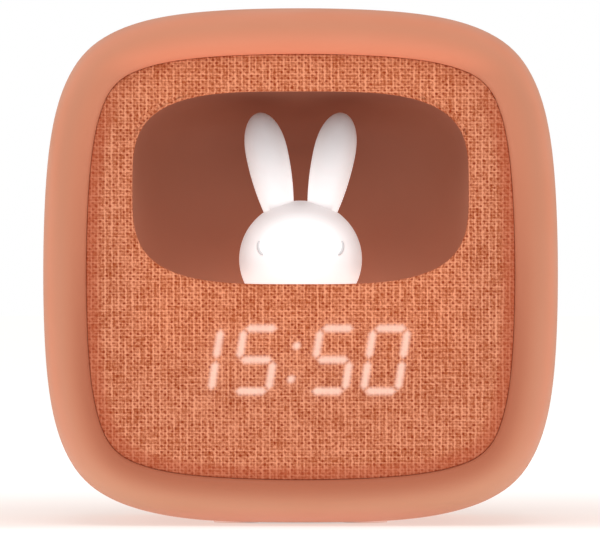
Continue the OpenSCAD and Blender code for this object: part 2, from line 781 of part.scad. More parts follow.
module key_board() {
    color("#2f6b45") difference() {
        block(0, key_z, key_board_w, key_board_h, board_front_y, board_rear_y);
        post_places() rod(0, 0, board_screw_r + 0.1, board_front_y - 1, board_rear_y + 1);
    }
}

module main_board() {
    color("#2f6b45") difference() {
        block(0, main_board_z, main_board_w, main_board_h, board_front_y, board_rear_y);
        post_places() rod(0, 0, board_screw_r + 0.1, board_front_y - 1, board_rear_y + 1);
    }
}

module board_screws() {
    color("#8d8f92") post_places() translate([0, board_front_y, 0]) mirror([0, 1, 0])
        screw(board_screw_head_r, board_screw_head_h, board_screw_r, board_t + board_screw_l - 0.5);
}

// Controller, charger, clock crystal and the plugs of the battery and the speaker, as
// [share of the board's width, up, width, height, thickness]
parts = [[-0.26, 6, 9, 9, 1.2], [-0.25, -9, 5, 5, 1], [-0.105, 8, 3.2, 6, 1.5], [0.09, 11, 8, 5, 4.5],
    [0.26, 11, 8, 5, 4.5]];
module board_parts() {
    color("#26282b") for (p = parts)
        block(p[0] * main_board_w, main_board_z + p[1], p[2], p[3], board_rear_y, board_rear_y + p[4]);
}

module usb_socket() {
    color("#b9bcc0") {
        difference() {
            union() {
                block(0, usb_z, usb_back_w, usb_back_h, board_rear_y, board_rear_y + usb_back_l);
                plate(board_rear_y + usb_back_l - 1, cover_out_y - 0.8) stadium(0, usb_z, usb_w, usb_h);
            }
            plate(board_rear_y + usb_back_l + 0.5, cover_out_y + 1)
                stadium(0, usb_z, usb_w - 2 * usb_shell, usb_h - 2 * usb_shell);
        }
        block(0, usb_z, 6.7, 0.7, board_rear_y + usb_back_l, cover_out_y - 1.5);
    }
}

slider_rest_x = slider_x - slider_travel / 2;

module power_switch() {
    color("#3a3a3c") difference() {
        block(slider_x, usb_z, switch_w, switch_h, board_rear_y, board_rear_y + switch_d);
        block(slider_x, usb_z, slider_stem_w + slider_travel + 2 * slider_gap, slider_stem_h + 2 * slider_gap,
            board_rear_y + switch_floor, board_rear_y + switch_d + 1);
    }
}

module power_slider() {
    top = cover_out_y + 0.8;
    color("#c8714e") {
        block(slider_rest_x, usb_z, slider_stem_w, slider_stem_h, board_rear_y + switch_floor + slider_gap, top - 1);
        difference() {
            plate(top - slider_pad_t, top) stadium(slider_rest_x, usb_z, slider_pad_w, slider_pad_h);
            for (i = [-1:1]) block(slider_rest_x + 1.2 * i, usb_z, 0.5, slider_pad_h + 1, top - 0.4, top + 1);
        }
    }
}

// ---- Battery and speaker ----

module battery_holder() {
    w = battery_w + 2 * (holder_gap + holder_wall);
    h = battery_h + 2 * (holder_gap + holder_wall);
    color("#d9d4ca") difference() {
        block(0, main_board_z, w, h, holder_front_y, board_front_y);
        block(0, main_board_z, w - 2 * holder_wall, h - 2 * holder_wall, holder_front_y - 1,
            board_front_y - holder_wall);
        block(0, main_board_z, 0.5 * w, h + 2, holder_front_y - 1, holder_front_y + 0.5 * holder_depth);
    }
}

module battery_cell() {
    r = battery_t / 2;
    back = board_front_y - holder_wall - 0.05;
    color("#4f7fb5") {
        block(0, main_board_z, battery_w, battery_h - battery_t, back - battery_t, back);
        for (s = [-1, 1]) translate([-battery_w / 2, back - r, main_board_z + s * (battery_h / 2 - r)])
            rotate([0, 90, 0]) cylinder(r = r, h = battery_w);
    }
}

module speaker_gasket() {
    color("#3a3a3c") turned(0, speaker_z, [[speaker_r - speaker_rim, speaker_face_y], [speaker_r, speaker_face_y],
        [speaker_r, cover_in_y], [speaker_r - speaker_rim, cover_in_y]]);
}

basket_r = speaker_r - speaker_rim;
basket_wall = 0.8;

module speaker_frame() {
    inner = basket_back_y + basket_wall;
    color("#3a3a3c") difference() {
        turned(0, speaker_z, [[magnet_r - 2, basket_back_y], [magnet_r + 1, basket_back_y],
            [basket_r + basket_wall, speaker_face_y - 1.5], [speaker_r, speaker_face_y - 1.5],
            [speaker_r, speaker_face_y], [basket_r, speaker_face_y], [basket_r, speaker_face_y - 1.5],
            [magnet_r + 1 - basket_wall, inner], [magnet_r - 2, inner]]);
        for (a = [45:90:315]) translate([0, 0, speaker_z]) rotate([0, a, 0])
            block(magnet_r + 1.6, 0, 3.4, 5, inner + 0.8, speaker_face_y - 2.4);
    }
}

module speaker_cone() {
    r = basket_r - 0.15;
    t = 0.035 * r;
    roll = 0.05 * r;
    rim_y = speaker_face_y - t;
    deep_y = rim_y - 0.22 * r;
    dome_y = deep_y + 0.1 * r;
    front = [[0, dome_y], [0.17 * r, dome_y - 0.025 * r], [0.29 * r, deep_y], [0.81 * r, rim_y - roll],
        [0.86 * r, rim_y], [0.95 * r, rim_y], [r, rim_y - roll]];
    color("#1f2022") turned(0, speaker_z, concat(front, [for (i = [len(front) - 1:-1:0]) front[i] - [0, t]]));
}

module speaker_magnet() {
    color("#8d8f92") turned(0, speaker_z, [[0, basket_back_y - magnet_h], [magnet_r, basket_back_y - magnet_h],
        [magnet_r, basket_back_y], [0, basket_back_y]]);
}

silicone_jacket();
front_housing();
rear_cover();
front_baffle();
grille_cloth();
light_niche();
rabbit_lamp();
lamp_collar();
night_light_board();
night_light_leds();
display_film();
display_reflector();
display_board();
display_leds();
main_board();
board_parts();
key_board();
tact_switches();
key_light();
key_clock();
key_alarm();
key_plus();
key_minus();
plunger_light();
plunger_clock();
plunger_alarm();
plunger_plus();
plunger_minus();
battery_holder();
battery_cell();
speaker_gasket();
speaker_frame();
speaker_cone();
speaker_magnet();
usb_socket();
power_switch();
power_slider();
cover_screws();
board_screws();
foot_pads();
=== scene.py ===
"""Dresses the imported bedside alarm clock: jacket, cloth, niche, rabbit lamp, keys and works.

The clock stands on z = 0 and faces -Y. Sizes in the dataclasses are millimetres, and every mesh is in metres.
"""

import logging
import math
from collections.abc import Callable, Iterable, Sequence
from dataclasses import astuple, dataclass, field
from enum import Enum
from functools import partial, reduce

import bmesh
import bpy
from bmesh.types import BMEdge, BMesh, BMVert
from bpy.types import ID, Material, Mesh, Node, NodeSocket, Object
from mathutils import Matrix, Vector


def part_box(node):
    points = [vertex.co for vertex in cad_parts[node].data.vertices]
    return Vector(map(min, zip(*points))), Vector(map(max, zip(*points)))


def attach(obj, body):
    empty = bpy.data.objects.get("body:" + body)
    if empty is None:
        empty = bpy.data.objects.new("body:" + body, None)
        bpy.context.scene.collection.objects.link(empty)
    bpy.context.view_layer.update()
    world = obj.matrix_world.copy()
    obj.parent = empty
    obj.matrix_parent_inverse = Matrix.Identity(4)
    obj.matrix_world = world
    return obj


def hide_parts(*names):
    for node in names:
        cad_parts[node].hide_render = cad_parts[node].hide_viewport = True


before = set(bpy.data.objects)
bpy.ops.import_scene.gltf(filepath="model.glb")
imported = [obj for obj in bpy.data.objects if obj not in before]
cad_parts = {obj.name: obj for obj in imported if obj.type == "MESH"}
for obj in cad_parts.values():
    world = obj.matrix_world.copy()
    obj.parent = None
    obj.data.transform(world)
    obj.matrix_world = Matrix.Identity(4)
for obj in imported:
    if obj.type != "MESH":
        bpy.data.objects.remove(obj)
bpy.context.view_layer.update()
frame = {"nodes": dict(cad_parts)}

MM = 0.001
WELD = 1e-7
WHITE = (1.0, 1.0, 1.0, 1.0)
BLACK = (0.0, 0.0, 0.0, 1.0)
log = logging.getLogger("rabbit_clock")

Colour = tuple[float, float, float, float]
Pair = tuple[float, float]
Triple = tuple[float, float, float]
Place = Callable[[float], Vector]


def tone(red: int, green: int, blue: int) -> Colour:
    """Linear colour of an 8-bit screen colour.

    Args:
        red: Red, 0 to 255.
        green: Green, 0 to 255.
        blue: Blue, 0 to 255.

    Returns:
        The colour as the shaders take it, opaque.
    """

    def linear(value: int) -> float:
        """Linear value of one 8-bit channel."""
        share = value / 255
        return share / 12.92 if share <= 0.04045 else ((share + 0.055) / 1.055) ** 2.4

    return linear(red), linear(green), linear(blue), 1.0


def held(share: float) -> float:
    """A share, held between 0 and 1."""
    return min(1.0, max(0.0, share))


def ease(value: float, low: float, high: float) -> float:
    """Smooth step from 0 at low to 1 at high."""
    share = held((value - low) / (high - low))
    return share * share * (3 - 2 * share)


# ---- Shared form ----


def rounded_point(half_w: float, half_h: float, squareness: float, turn: float) -> Pair:
    """Point of a superellipse.

    Args:
        half_w: Half width in millimetres.
        half_h: Half height in millimetres.
        squareness: 2 for an ellipse, more for squarer corners.
        turn: Place around the outline, 0 to 1.

    Returns:
        The point, across and up.
    """
    angle = 2 * math.pi * turn
    across, up = math.cos(angle), math.sin(angle)
    reach = ((abs(across) / half_w) ** squareness + (abs(up) / half_h) ** squareness) ** (-1 / squareness)
    return reach * across, reach * up


def rounded_area(half_w: float, half_h: float, squareness: float) -> float:
    """Area inside a superellipse, in square millimetres."""
    whole = math.gamma(1 + 1 / squareness) ** 2 / math.gamma(1 + 2 / squareness)
    return 4 * half_w * half_h * whole


@dataclass(frozen=True)
class Rounding:
    """How an outline of the front is rounded: a superellipse, mixed with bowed sides and round corners."""

    squareness: float
    bow: float
    corner: float
    plain: float

    def toward(self, other: "Rounding", share: float) -> "Rounding":
        """A rounding between this one and another."""
        mine, theirs = astuple(self), astuple(other)
        return Rounding(*[a + (b - a) * share for a, b in zip(mine, theirs)])

    def reach(self, half: float, turn: float) -> float:
        """Distance from the middle to the outline.

        Args:
            half: Half the outline's width.
            turn: Share of a whole turn.

        Returns:
            The distance in the direction of this turn.
        """
        angle = 2 * math.pi * turn % (math.pi / 2)
        angle = min(angle, math.pi / 2 - angle)
        rest = self.bow - half
        at = (math.sqrt(2 * (self.bow - self.corner) ** 2 - rest**2) - rest) / 2
        meet = self.bow / (self.bow - self.corner)
        if angle < math.atan2(meet * at, meet * (at + rest) - rest):
            x, z, radius = -rest, 0.0, self.bow
        else:
            x, z, radius = at, at, self.corner
        along = x * math.cos(angle) + z * math.sin(angle)
        bowed = along + math.sqrt(along**2 - x**2 - z**2 + radius**2)
        plain = math.hypot(*rounded_point(half, half, self.squareness, turn))
        return bowed + (plain - bowed) * self.plain


@dataclass(frozen=True)
class ClockForm:
    """The sizes that the jacket, the panel, the window and the rear share."""

    width: float = 136.0
    height: float = 136.0
    depth: float = 98.0
    foot: float = 0.3
    squareness: float = 3.85
    panel_squareness: float = 4.5
    outer_rounding: Rounding = Rounding(4.39, 95.2, 17.2, 0.78)
    panel_rounding: Rounding = Rounding(5.1, 153.0, 10.4, 0.61)
    swell: float = 0.27
    swell_fade: float = 0.6
    stand_flat: float = 0.6
    squash: float = 0.007
    spread: float = 0.00008
    front_roll: float = 29.0
    rear_roll: float = 25.0
    rear_taper: float = 1.8
    wall: float = 2.2
    rim: float = 11.7
    rear_rim: float = 14.4
    groove: float = 0.03
    cloth_set: float = 1.5
    cloth: float = 0.6
    cloth_gap: float = 0.05
    panel: float = 3.5
    lip_in: float = 0.2
    window_w: float = 88.4
    window_h: float = 50.7
    window_squareness: float = 3.5
    window_up: float = 20.8

    @property
    def front(self) -> float:
        """Place of the front rim along Y."""
        return -self.depth / 2

    @property
    def rear(self) -> float:
        """Place of the rear rim along Y."""
        return self.depth / 2

    @property
    def widest(self) -> float:
        """Place of the widest section along Y."""
        return self.front + self.front_roll

    @property
    def rear_start(self) -> float:
        """Place along Y where the rear round starts."""
        return self.rear - self.rear_roll

    @property
    def middle(self) -> float:
        """Height of the front's middle."""
        return self.foot + self.height / 2

    @property
    def cloth_y(self) -> float:
        """Place of the cloth's face along Y."""
        return self.front + self.cloth_set

    @property
    def panel_back(self) -> float:
        """Place of the panel's back along Y."""
        return self.cloth_y + self.cloth + self.cloth_gap + self.panel

    @property
    def lip(self) -> float:
        """Place along Y where the groove around the panel ends."""
        return self.panel_back - self.lip_in

    @property
    def window(self) -> float:
        """Height of the window's middle."""
        return self.middle + self.window_up

    def rearward(self, y: float) -> float:
        """How far a place lies on the way from the widest section to the rear round, 0 to 1."""
        return held((y - self.widest) / (self.rear_start - self.widest))

    def mid(self, y: float) -> float:
        """Height of a section's middle: the underside stays flat while the sides taper."""
        return self.middle - self.rear_taper * self.rearward(y)

    def reach(self, inset: float, turn: float) -> float:
        """Distance from the middle to the front's outline at an inset, for a share of a turn.

        Args:
            inset: How far inside the outline the ring lies.
            turn: Share of a whole turn.

        Returns:
            The distance in millimetres.
        """
        deep = held(inset / self.rim)
        rounding = self.outer_rounding.toward(self.panel_rounding, deep)
        return rounding.reach(self.width / 2 + self.swell * (1 - self.swell_fade * deep) - inset, turn)

    def body(self, inset: float, y: float, inner: bool = False) -> Place:
        """A ring of the body, bowed in front and a superellipse behind.

        Args:
            inset: How far the ring lies inside the widest section.
            y: Its place along Y.
            inner: Whether it lies against the housing, which is a superellipse throughout.

        Returns:
            The ring's point for each share of a turn, in metres.
        """
        deep = held(inset / self.rim)
        square = self.squareness + (self.panel_squareness - self.squareness) * deep
        share = 1.0 if inner else self.rearward(y)
        plain = outline(self.width / 2 - inset, self.height / 2 - inset, square, y, self.mid(y))

        def place(turn: float) -> Vector:
            """Point of the ring, which lies flatter where the body stands.

            Args:
                turn: Share of a whole turn.

            Returns:
                The point, in metres.
            """
            reach, angle = self.reach(inset, turn), 2 * math.pi * turn
            up = reach * math.sin(angle) * (1 - self.squash * deep)
            across = reach * math.cos(angle) * (1 - self.spread * up)
            flat = max(share, self.stand_flat * (1 - deep) * ease(-math.sin(angle), 0.8, 0.99))
            return Vector((across, y, self.mid(y) + up)).lerp(plain(turn) / MM, flat) * MM

        return place

    def panel_area(self, inset: float, steps: int = 720) -> float:
        """Area inside a ring of the panel, in square millimetres."""
        return sum(self.reach(inset, i / steps) ** 2 for i in range(steps)) * math.pi / steps

    def window_ring(self, grow: float, y: float) -> Place:
        """A ring of the window, grown from its outline."""
        half_w, half_h = self.window_w / 2 + grow, self.window_h / 2 + grow
        return outline(half_w, half_h, self.window_squareness, y, self.window)


def outline(half_w: float, half_h: float, squareness: float, y: float, z: float) -> Place:
    """A superellipse across the clock, as a place for each share of a turn, in metres.

    Args:
        half_w: Half width.
        half_h: Half height.
        squareness: As for rounded_point.
        y: Place along Y.
        z: Height of its middle.

    Returns:
        The outline's place for each share of a turn.
    """

    def place(turn: float) -> Vector:
        """Point of the outline."""
        across, up = rounded_point(half_w, half_h, squareness, turn)
        return Vector((across, y, z + up)) * MM

    return place


FORM = ClockForm()


# ---- Building pieces ----


def welded(bm: BMesh) -> BMesh:
    """A mesh whose meeting points are joined and whose faces look outwards.

    Args:
        bm: The mesh.

    Returns:
        The same mesh.
    """
    bmesh.ops.remove_doubles(bm, verts=bm.verts, dist=WELD)
    bmesh.ops.recalc_face_normals(bm, faces=bm.faces)
    return bm


def mesh_of(bm: BMesh, name: str) -> Mesh:
    """Mesh data of a mesh that is built.

    Args:
        bm: The mesh; it is freed.
        name: The data's name.

    Returns:
        The mesh data.
    """
    mesh = bpy.data.meshes.new(name)
    bm.to_mesh(mesh)
    bm.free()
    return mesh


def linked(name: str, data: ID) -> Object:
    """A new object in the scene.

    Args:
        name: Its name.
        data: Its mesh, camera or light.

    Returns:
        The object.
    """
    made = bpy.data.objects.new(name, data)
    bpy.context.scene.collection.objects.link(made)
    return made


class RingSkin:
    """A skin that grows ring by ring with the extrude operator."""

    def __init__(self, count: int) -> None:
        """Starts with one ring.

        Args:
            count: Points of each ring.
        """
        self.bm: BMesh = bmesh.new()
        self.count = count
        bmesh.ops.create_circle(self.bm, segments=count, radius=1.0)
        self.turn = self.bm.verts.layers.int.new("turn")
        self.flat = self.bm.verts.layers.float_vector.new("weave")
        self.turned = self.bm.verts.layers.float.new("turned")
        for index, vert in enumerate(self.bm.verts):
            vert[self.turn] = index
        self.edges: list[BMEdge] = list(self.bm.edges)
        self.verts: list[BMVert] = list(self.bm.verts)
        self.started = False

    def ring(self, place: Place) -> list[BMVert]:
        """Adds a ring.

        Args:
            place: The ring's point for each share of a turn.

        Returns:
            The ring's vertices.
        """
        if self.started:
            made = bmesh.ops.extrude_edge_only(self.bm, edges=self.edges)["geom"]
            self.verts = [part for part in made if isinstance(part, BMVert)]
            fresh = set(self.verts)
            self.edges = [part for part in made if isinstance(part, BMEdge) and set(part.verts) <= fresh]
        self.started = True
        for vert in self.verts:
            vert.co = place(vert[self.turn] / self.count)
        return self.verts

    def close(self) -> BMesh:
        """Joins what meets, turns the faces outwards and gives the mesh."""
        return welded(self.bm)


def spun(profile: Sequence[Pair], steps: int = 96) -> BMesh:
    """A piece turned about Z.

    Args:
        profile: Radius and height of each point, in millimetres; it starts and ends on the axis.
        steps: Steps of the full turn.

    Returns:
        The closed mesh, in metres.
    """
    bm = bmesh.new()
    verts = [bm.verts.new((radius * MM, 0.0, height * MM)) for radius, height in profile]
    edges = [bm.edges.new(pair) for pair in zip(verts, verts[1:])]
    turn = {"cent": (0, 0, 0), "axis": (0, 0, 1), "angle": 2 * math.pi, "steps": steps}
    bmesh.ops.spin(bm, geom=[*verts, *edges], use_merge=True, **turn)
    return welded(bm)


def merged(*parts: BMesh) -> BMesh:
    """One mesh of several, which are freed.

    Args:
        parts: The meshes.

    Returns:
        The whole mesh.
    """
    whole = bmesh.new()
    for part in parts:
        step = mesh_of(part, "step")
        whole.from_mesh(step)
        bpy.data.meshes.remove(step)
    return whole


def slab(points: Iterable[Pair], y0: float, y1: float, at: Pair = (0.0, 0.0)) -> BMesh:
    """A flat shape across the clock with a thickness along Y.

    Args:
        points: Its outline, across and up from its middle, in millimetres.
        y0: One face's place along Y.
        y1: The other face's place along Y.
        at: Place of its middle.

    Returns:
        The closed mesh, in metres.
    """
    bm = bmesh.new()
    face = bm.faces.new([bm.verts.new(Vector((at[0] + x, y0, at[1] + z)) * MM) for x, z in points])
    made = bmesh.ops.extrude_face_region(bm, geom=[face], use_keep_orig=True)["geom"]
    moved = [part for part in made if isinstance(part, BMVert)]
    bmesh.ops.translate(bm, vec=Vector((0, (y1 - y0) * MM, 0)), verts=moved)
    bmesh.ops.recalc_face_normals(bm, faces=bm.faces)
    return bm


def disc(radius: float, steps: int = 32, hole: float = 0.0) -> list[Pair]:
    """Outline of a disc or, with a hole, of a ring cut open at one place.

    Args:
        radius: Its radius.
        steps: Points of the full turn.
        hole: Radius of the hole, 0 for none.

    Returns:
        The outline's points.
    """
    turns = [2 * math.pi * i / steps for i in range(steps + (1 if hole else 0))]
    outer = [(radius * math.cos(a), radius * math.sin(a)) for a in turns]
    inner = [(hole * math.cos(a), hole * math.sin(a)) for a in reversed(turns)] if hole else []
    return outer + inner


def bar_outline(length: float, width: float, angle: float = 0.0, out: float = 0.0) -> list[Pair]:
    """Outline of a bar at an angle in degrees, moved out along itself.

    Args:
        length: Its length.
        width: Its width.
        angle: The angle.
        out: Where along itself it starts.

    Returns:
        The four corners.
    """
    cos, sin, half = math.cos(math.radians(angle)), math.sin(math.radians(angle)), width / 2
    corners = [(out, -half), (out + length, -half), (out + length, half), (out, half)]
    return [(x * cos - y * sin, x * sin + y * cos) for x, y in corners]


def set_in_place(
    bm: BMesh,
    name: str,
    finish: Material,
    body: str = "body",
    stands_for: Sequence[str] = (),
    crease: float = 35.0,
) -> Object:
    """Makes a piece of a mesh, dresses it and lets it ride on its body.

    Args:
        bm: The mesh, in metres; it is freed.
        name: The piece's name.
        finish: Its material.
        body: The CAD body that it rides on.
        stands_for: CAD nodes that it replaces.
        crease: Edges sharper than this many degrees stay crisp.

    Returns:
        The piece.
    """
    for face in bm.faces:
        face.smooth = True
    for edge in bm.edges:
        edge.smooth = len(edge.link_faces) != 2 or edge.calc_face_angle(0.0) < math.radians(crease)
    mesh = mesh_of(bm, name)
    mesh.materials.append(finish)
    piece = linked(name, mesh)
    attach(piece, body)
    if stands_for:
        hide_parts(*stands_for)
    log.info("%s: %d faces on %s", name, len(mesh.polygons), body)
    return piece


def paint(piece: Object, name: str, value: Callable[[Vector], float]) -> None:
    """Stores a value for each vertex of a piece, which its material reads.

    Args:
        piece: The piece.
        name: The attribute's name.
        value: The value at a place in millimetres.
    """
    layer = piece.data.attributes.new(name, "FLOAT", "POINT")
    layer.data.foreach_set("value", [value(vert.co / MM) for vert in piece.data.vertices])


# ---- Finishes ----


class Graph:
    """A material's node tree, with short calls for the nodes that the finishes use."""

    def __init__(self, name: str) -> None:
        """Starts a material with its Principled shader.

        Args:
            name: The material's name.
        """
        self.material = bpy.data.materials.new(name)
        self.material.use_nodes = True
        self.tree = self.material.node_tree
        self.shader = self.tree.nodes["Principled BSDF"]
        self.place: NodeSocket = self.tree.nodes.new("ShaderNodeTexCoord").outputs["Object"]

    def feed(self, socket: NodeSocket, value: object) -> None:
        """Links a socket, or sets its value.

        Args:
            socket: The socket.
            value: A socket to link or a plain value.
        """
        if isinstance(value, NodeSocket):
            self.tree.links.new(value, socket)
        else:
            socket.default_value = value

    def put(self, kind: str, feeds: dict[str | int, object], **settings: object) -> Node:
        """Adds a node.

        Args:
            kind: The node's type.
            feeds: What goes into its sockets, by name or index.
            settings: Its settings.

        Returns:
            The node.
        """
        node = self.tree.nodes.new(kind)
        for key, value in settings.items():
            setattr(node, key, value)
        for key, value in feeds.items():
            self.feed(node.inputs[key], value)
        return node

    def calc(self, operation: str, *values: object, clamp: bool = False) -> NodeSocket:
        """Result of a Math node."""
        node = self.put("ShaderNodeMath", dict(enumerate(values)), operation=operation, use_clamp=clamp)
        return node.outputs[0]

    def times(self, first: object, second: object) -> NodeSocket:
        """Product of two values."""
        return self.calc("MULTIPLY", first, second)

    def plus(self, *values: object) -> NodeSocket:
        """Sum of values."""
        return reduce(partial(self.calc, "ADD"), values)

    def minus(self, first: object, second: object) -> NodeSocket:
        """What is left of the first value without the second."""
        return self.calc("SUBTRACT", first, second)

    def least(self, values: Iterable[object]) -> NodeSocket:
        """Smallest of some values."""
        return reduce(partial(self.calc, "MINIMUM"), values)

    def split(self, vector: object) -> tuple[NodeSocket, ...]:
        """X, Y and Z of a vector."""
        return tuple(self.put("ShaderNodeSeparateXYZ", {0: vector}).outputs)

    def joined(self, x: object = 0.0, y: object = 0.0, z: object = 0.0) -> NodeSocket:
        """A vector of three values."""
        return self.put("ShaderNodeCombineXYZ", {0: x, 1: y, 2: z}).outputs[0]

    def noise(
        self, scale: float, detail: float = 2.0, vector: object = None, stretch: Sequence[float] = (1, 1, 1)
    ) -> NodeSocket:
        """Noise over the piece, 0 to 1.

        Args:
            scale: How fine it is.
            detail: How many finer layers it has.
            vector: Where it is read; by default the place on the piece.
            stretch: How much it is squeezed along each axis.

        Returns:
            The noise.
        """
        feeds = {"Vector": self.place if vector is None else vector, "Scale": tuple(stretch)}
        spot = self.put("ShaderNodeMapping", feeds).outputs[0]
        return self.put("ShaderNodeTexNoise", {"Vector": spot, "Scale": scale, "Detail": detail}).outputs[0]

    def spread(
        self,
        value: object,
        low: float,
        high: float,
        to_low: float = 0.0,
        to_high: float = 1.0,
        smooth: bool = True,
    ) -> NodeSocket:
        """A value mapped from one span to another and held there.

        Args:
            value: The value.
            low: Where the first span starts.
            high: Where the first span ends.
            to_low: Where the second span starts.
            to_high: Where the second span ends.
            smooth: Whether it eases in and out.

        Returns:
            The mapped value.
        """
        feeds = {"Value": value, "From Min": low, "From Max": high, "To Min": to_low, "To Max": to_high}
        way = "SMOOTHSTEP" if smooth else "LINEAR"
        return self.put("ShaderNodeMapRange", feeds, interpolation_type=way).outputs[0]

    def rough(self, grain: object, low: float, high: float) -> NodeSocket:
        """Roughness that follows a grain from low to high."""
        return self.spread(grain, 0.2, 0.8, low, high)

    def blend(self, share: object, first: object, second: object, mode: str = "MIX") -> NodeSocket:
        """Mix of two colours."""
        node = self.put("ShaderNodeMix", {0: share, 6: first, 7: second}, data_type="RGBA", blend_type=mode)
        return node.outputs[2]

    def drifted(self, base: object, cloud: object, most: object, toward: Colour) -> NodeSocket:
        """A colour that a cloud tints by up to that share."""
        tinted = self.blend(1.0, base, toward, "MULTIPLY")
        return self.blend(self.spread(cloud, 0.3, 0.7, 0.0, most), base, tinted)

    def stored(self, name: str, vector: bool = False) -> NodeSocket:
        """A value that the piece's mesh stores."""
        node = self.put("ShaderNodeAttribute", {}, attribute_name=name)
        return node.outputs["Vector" if vector else "Fac"]

    def bump(self, height: object, depth: float, strength: float = 1.0) -> None:
        """Gives the surface a relief of that depth in metres."""
        node = self.put("ShaderNodeBump", {"Height": height, "Distance": depth, "Strength": strength})
        self.feed(self.shader.inputs["Normal"], node.outputs[0])

    def dress(self, **feeds: object) -> Material:
        """Feeds the shader's sockets, named with underscores, and gives the material.

        Args:
            feeds: What goes into each socket.

        Returns:
            The finished material.
        """
        for key, value in feeds.items():
            self.feed(self.shader.inputs[key.replace("_", " ")], value)
        return self.material


@dataclass(frozen=True)
class SoftSilicone:
    """Matt silicone with a faint bloom; its colour holds painted light and shade: a painted highlight and
    painted shade near the groove, lighter towards the bottom and the top, a painted highlight on the front
    shoulder and painted shade on the sides.
    """

    name: str = "jacket_silicone"
    colour: Colour = tone(198, 130, 101)
    painted_low_light: Colour = tone(190, 135, 107)
    painted_lowest_light: Colour = tone(206, 141, 116)
    painted_top_shading: Colour = tone(209, 137, 107)
    groove_painted_tone: Colour = tone(204, 130, 101)
    groove_painted_highlight: Colour = tone(229, 139, 107)
    groove_painted_shade: Colour = tone(174, 102, 76)
    painted_shoulder_highlight: Colour = tone(214, 130, 97)
    painted_side_shade: Colour = tone(190, 126, 101)
    roughness: float = 0.5
    bloom: float = 0.13

    def make(self) -> Material:
        """Builds the material.

        Returns:
            The material.
        """
        g = Graph(self.name)
        cloud = g.noise(38.0, 3.0)
        fine = g.noise(2600.0, 2.0)
        _, depth, height = g.split(g.place)
        # the spans below are heights and depths in metres
        # painted highlight and painted shade near the groove: bright coral at the top, darker towards the
        # bottom and the sides
        edge = g.blend(g.spread(height, 0.118, 0.030), self.groove_painted_tone, self.groove_painted_shade)
        edge = g.blend(g.spread(height, 0.117, 0.125), edge, self.groove_painted_highlight)
        # painted highlight: a brighter, more orange band on the front shoulder
        shoulder = g.times(g.spread(depth, -0.046, -0.036, 0.0, 0.8), g.spread(height, 0.005, 0.045))
        # painted shade: duller on the sides behind the front shoulder, less so towards the rear
        side = g.times(g.spread(depth, -0.040, -0.020), g.spread(depth, 0.046, 0.0, 0.2, 1.0))
        base = self.colour
        for share, colour in (
            # painted light: paler and lighter towards the bottom, for the floor's bounce
            (g.spread(height, 0.024, 0.006), self.painted_low_light),
            # painted light: lighter still along the lowest edge
            (g.spread(height, 0.006, 0.001), self.painted_lowest_light),
            # painted light: lighter towards the top
            (g.spread(height, 0.110, 0.130), self.painted_top_shading),
            (shoulder, self.painted_shoulder_highlight),
            (side, self.painted_side_shade),
            # the groove's painted highlight and shade, by the stored share
            (g.stored("edge"), edge),
        ):
            base = g.blend(share, base, colour)
        g.bump(g.plus(g.times(fine, 0.7), g.times(cloud, 0.6)), 0.00004, 0.35)
        return g.dress(
            Base_Color=g.drifted(base, cloud, 0.06, tone(232, 200, 186)),
            Roughness=g.spread(cloud, 0.25, 0.75, self.roughness - 0.04, self.roughness + 0.05),
            Sheen_Weight=self.bloom,
            Sheen_Roughness=0.45,
            Sheen_Tint=tone(255, 204, 148),
            Specular_IOR_Level=0.08,
        )


@dataclass(frozen=True)
class MouldedPlastic:
    """Moulded plastic with a spark-eroded grain and a slight drift of colour."""

    name: str
    colour: Colour
    roughness: float = 0.55
    grain: float = 1500.0
    depth: float = 0.00003
    drift: float = 0.08

    def make(self) -> Material:
        """Builds the material.

        Returns:
            The material.
        """
        g = Graph(self.name)
        cells = g.put("ShaderNodeTexVoronoi", {"Vector": g.place, "Scale": self.grain}, feature="SMOOTH_F1")
        g.bump(cells.outputs["Distance"], self.depth, 0.5)
        return g.dress(
            Base_Color=g.drifted(self.colour, g.noise(60.0, 4.0), self.drift, tone(215, 205, 200)),
            Roughness=g.rough(g.noise(300.0, 3.0), self.roughness - 0.06, self.roughness + 0.07),
            Specular_IOR_Level=0.4,
        )


class Fold(Enum):
    """How a digit's lit bars repeat about its middle."""

    BOTH_WAYS = "mirrored left to right and top to bottom"
    HALF_TURN = "the same after half a turn"
    UP_DOWN = "mirrored top to bottom"


class Lie(Enum):
    """How a bar of a digit lies."""

    LEVEL = "level"
    UPRIGHT = "upright"


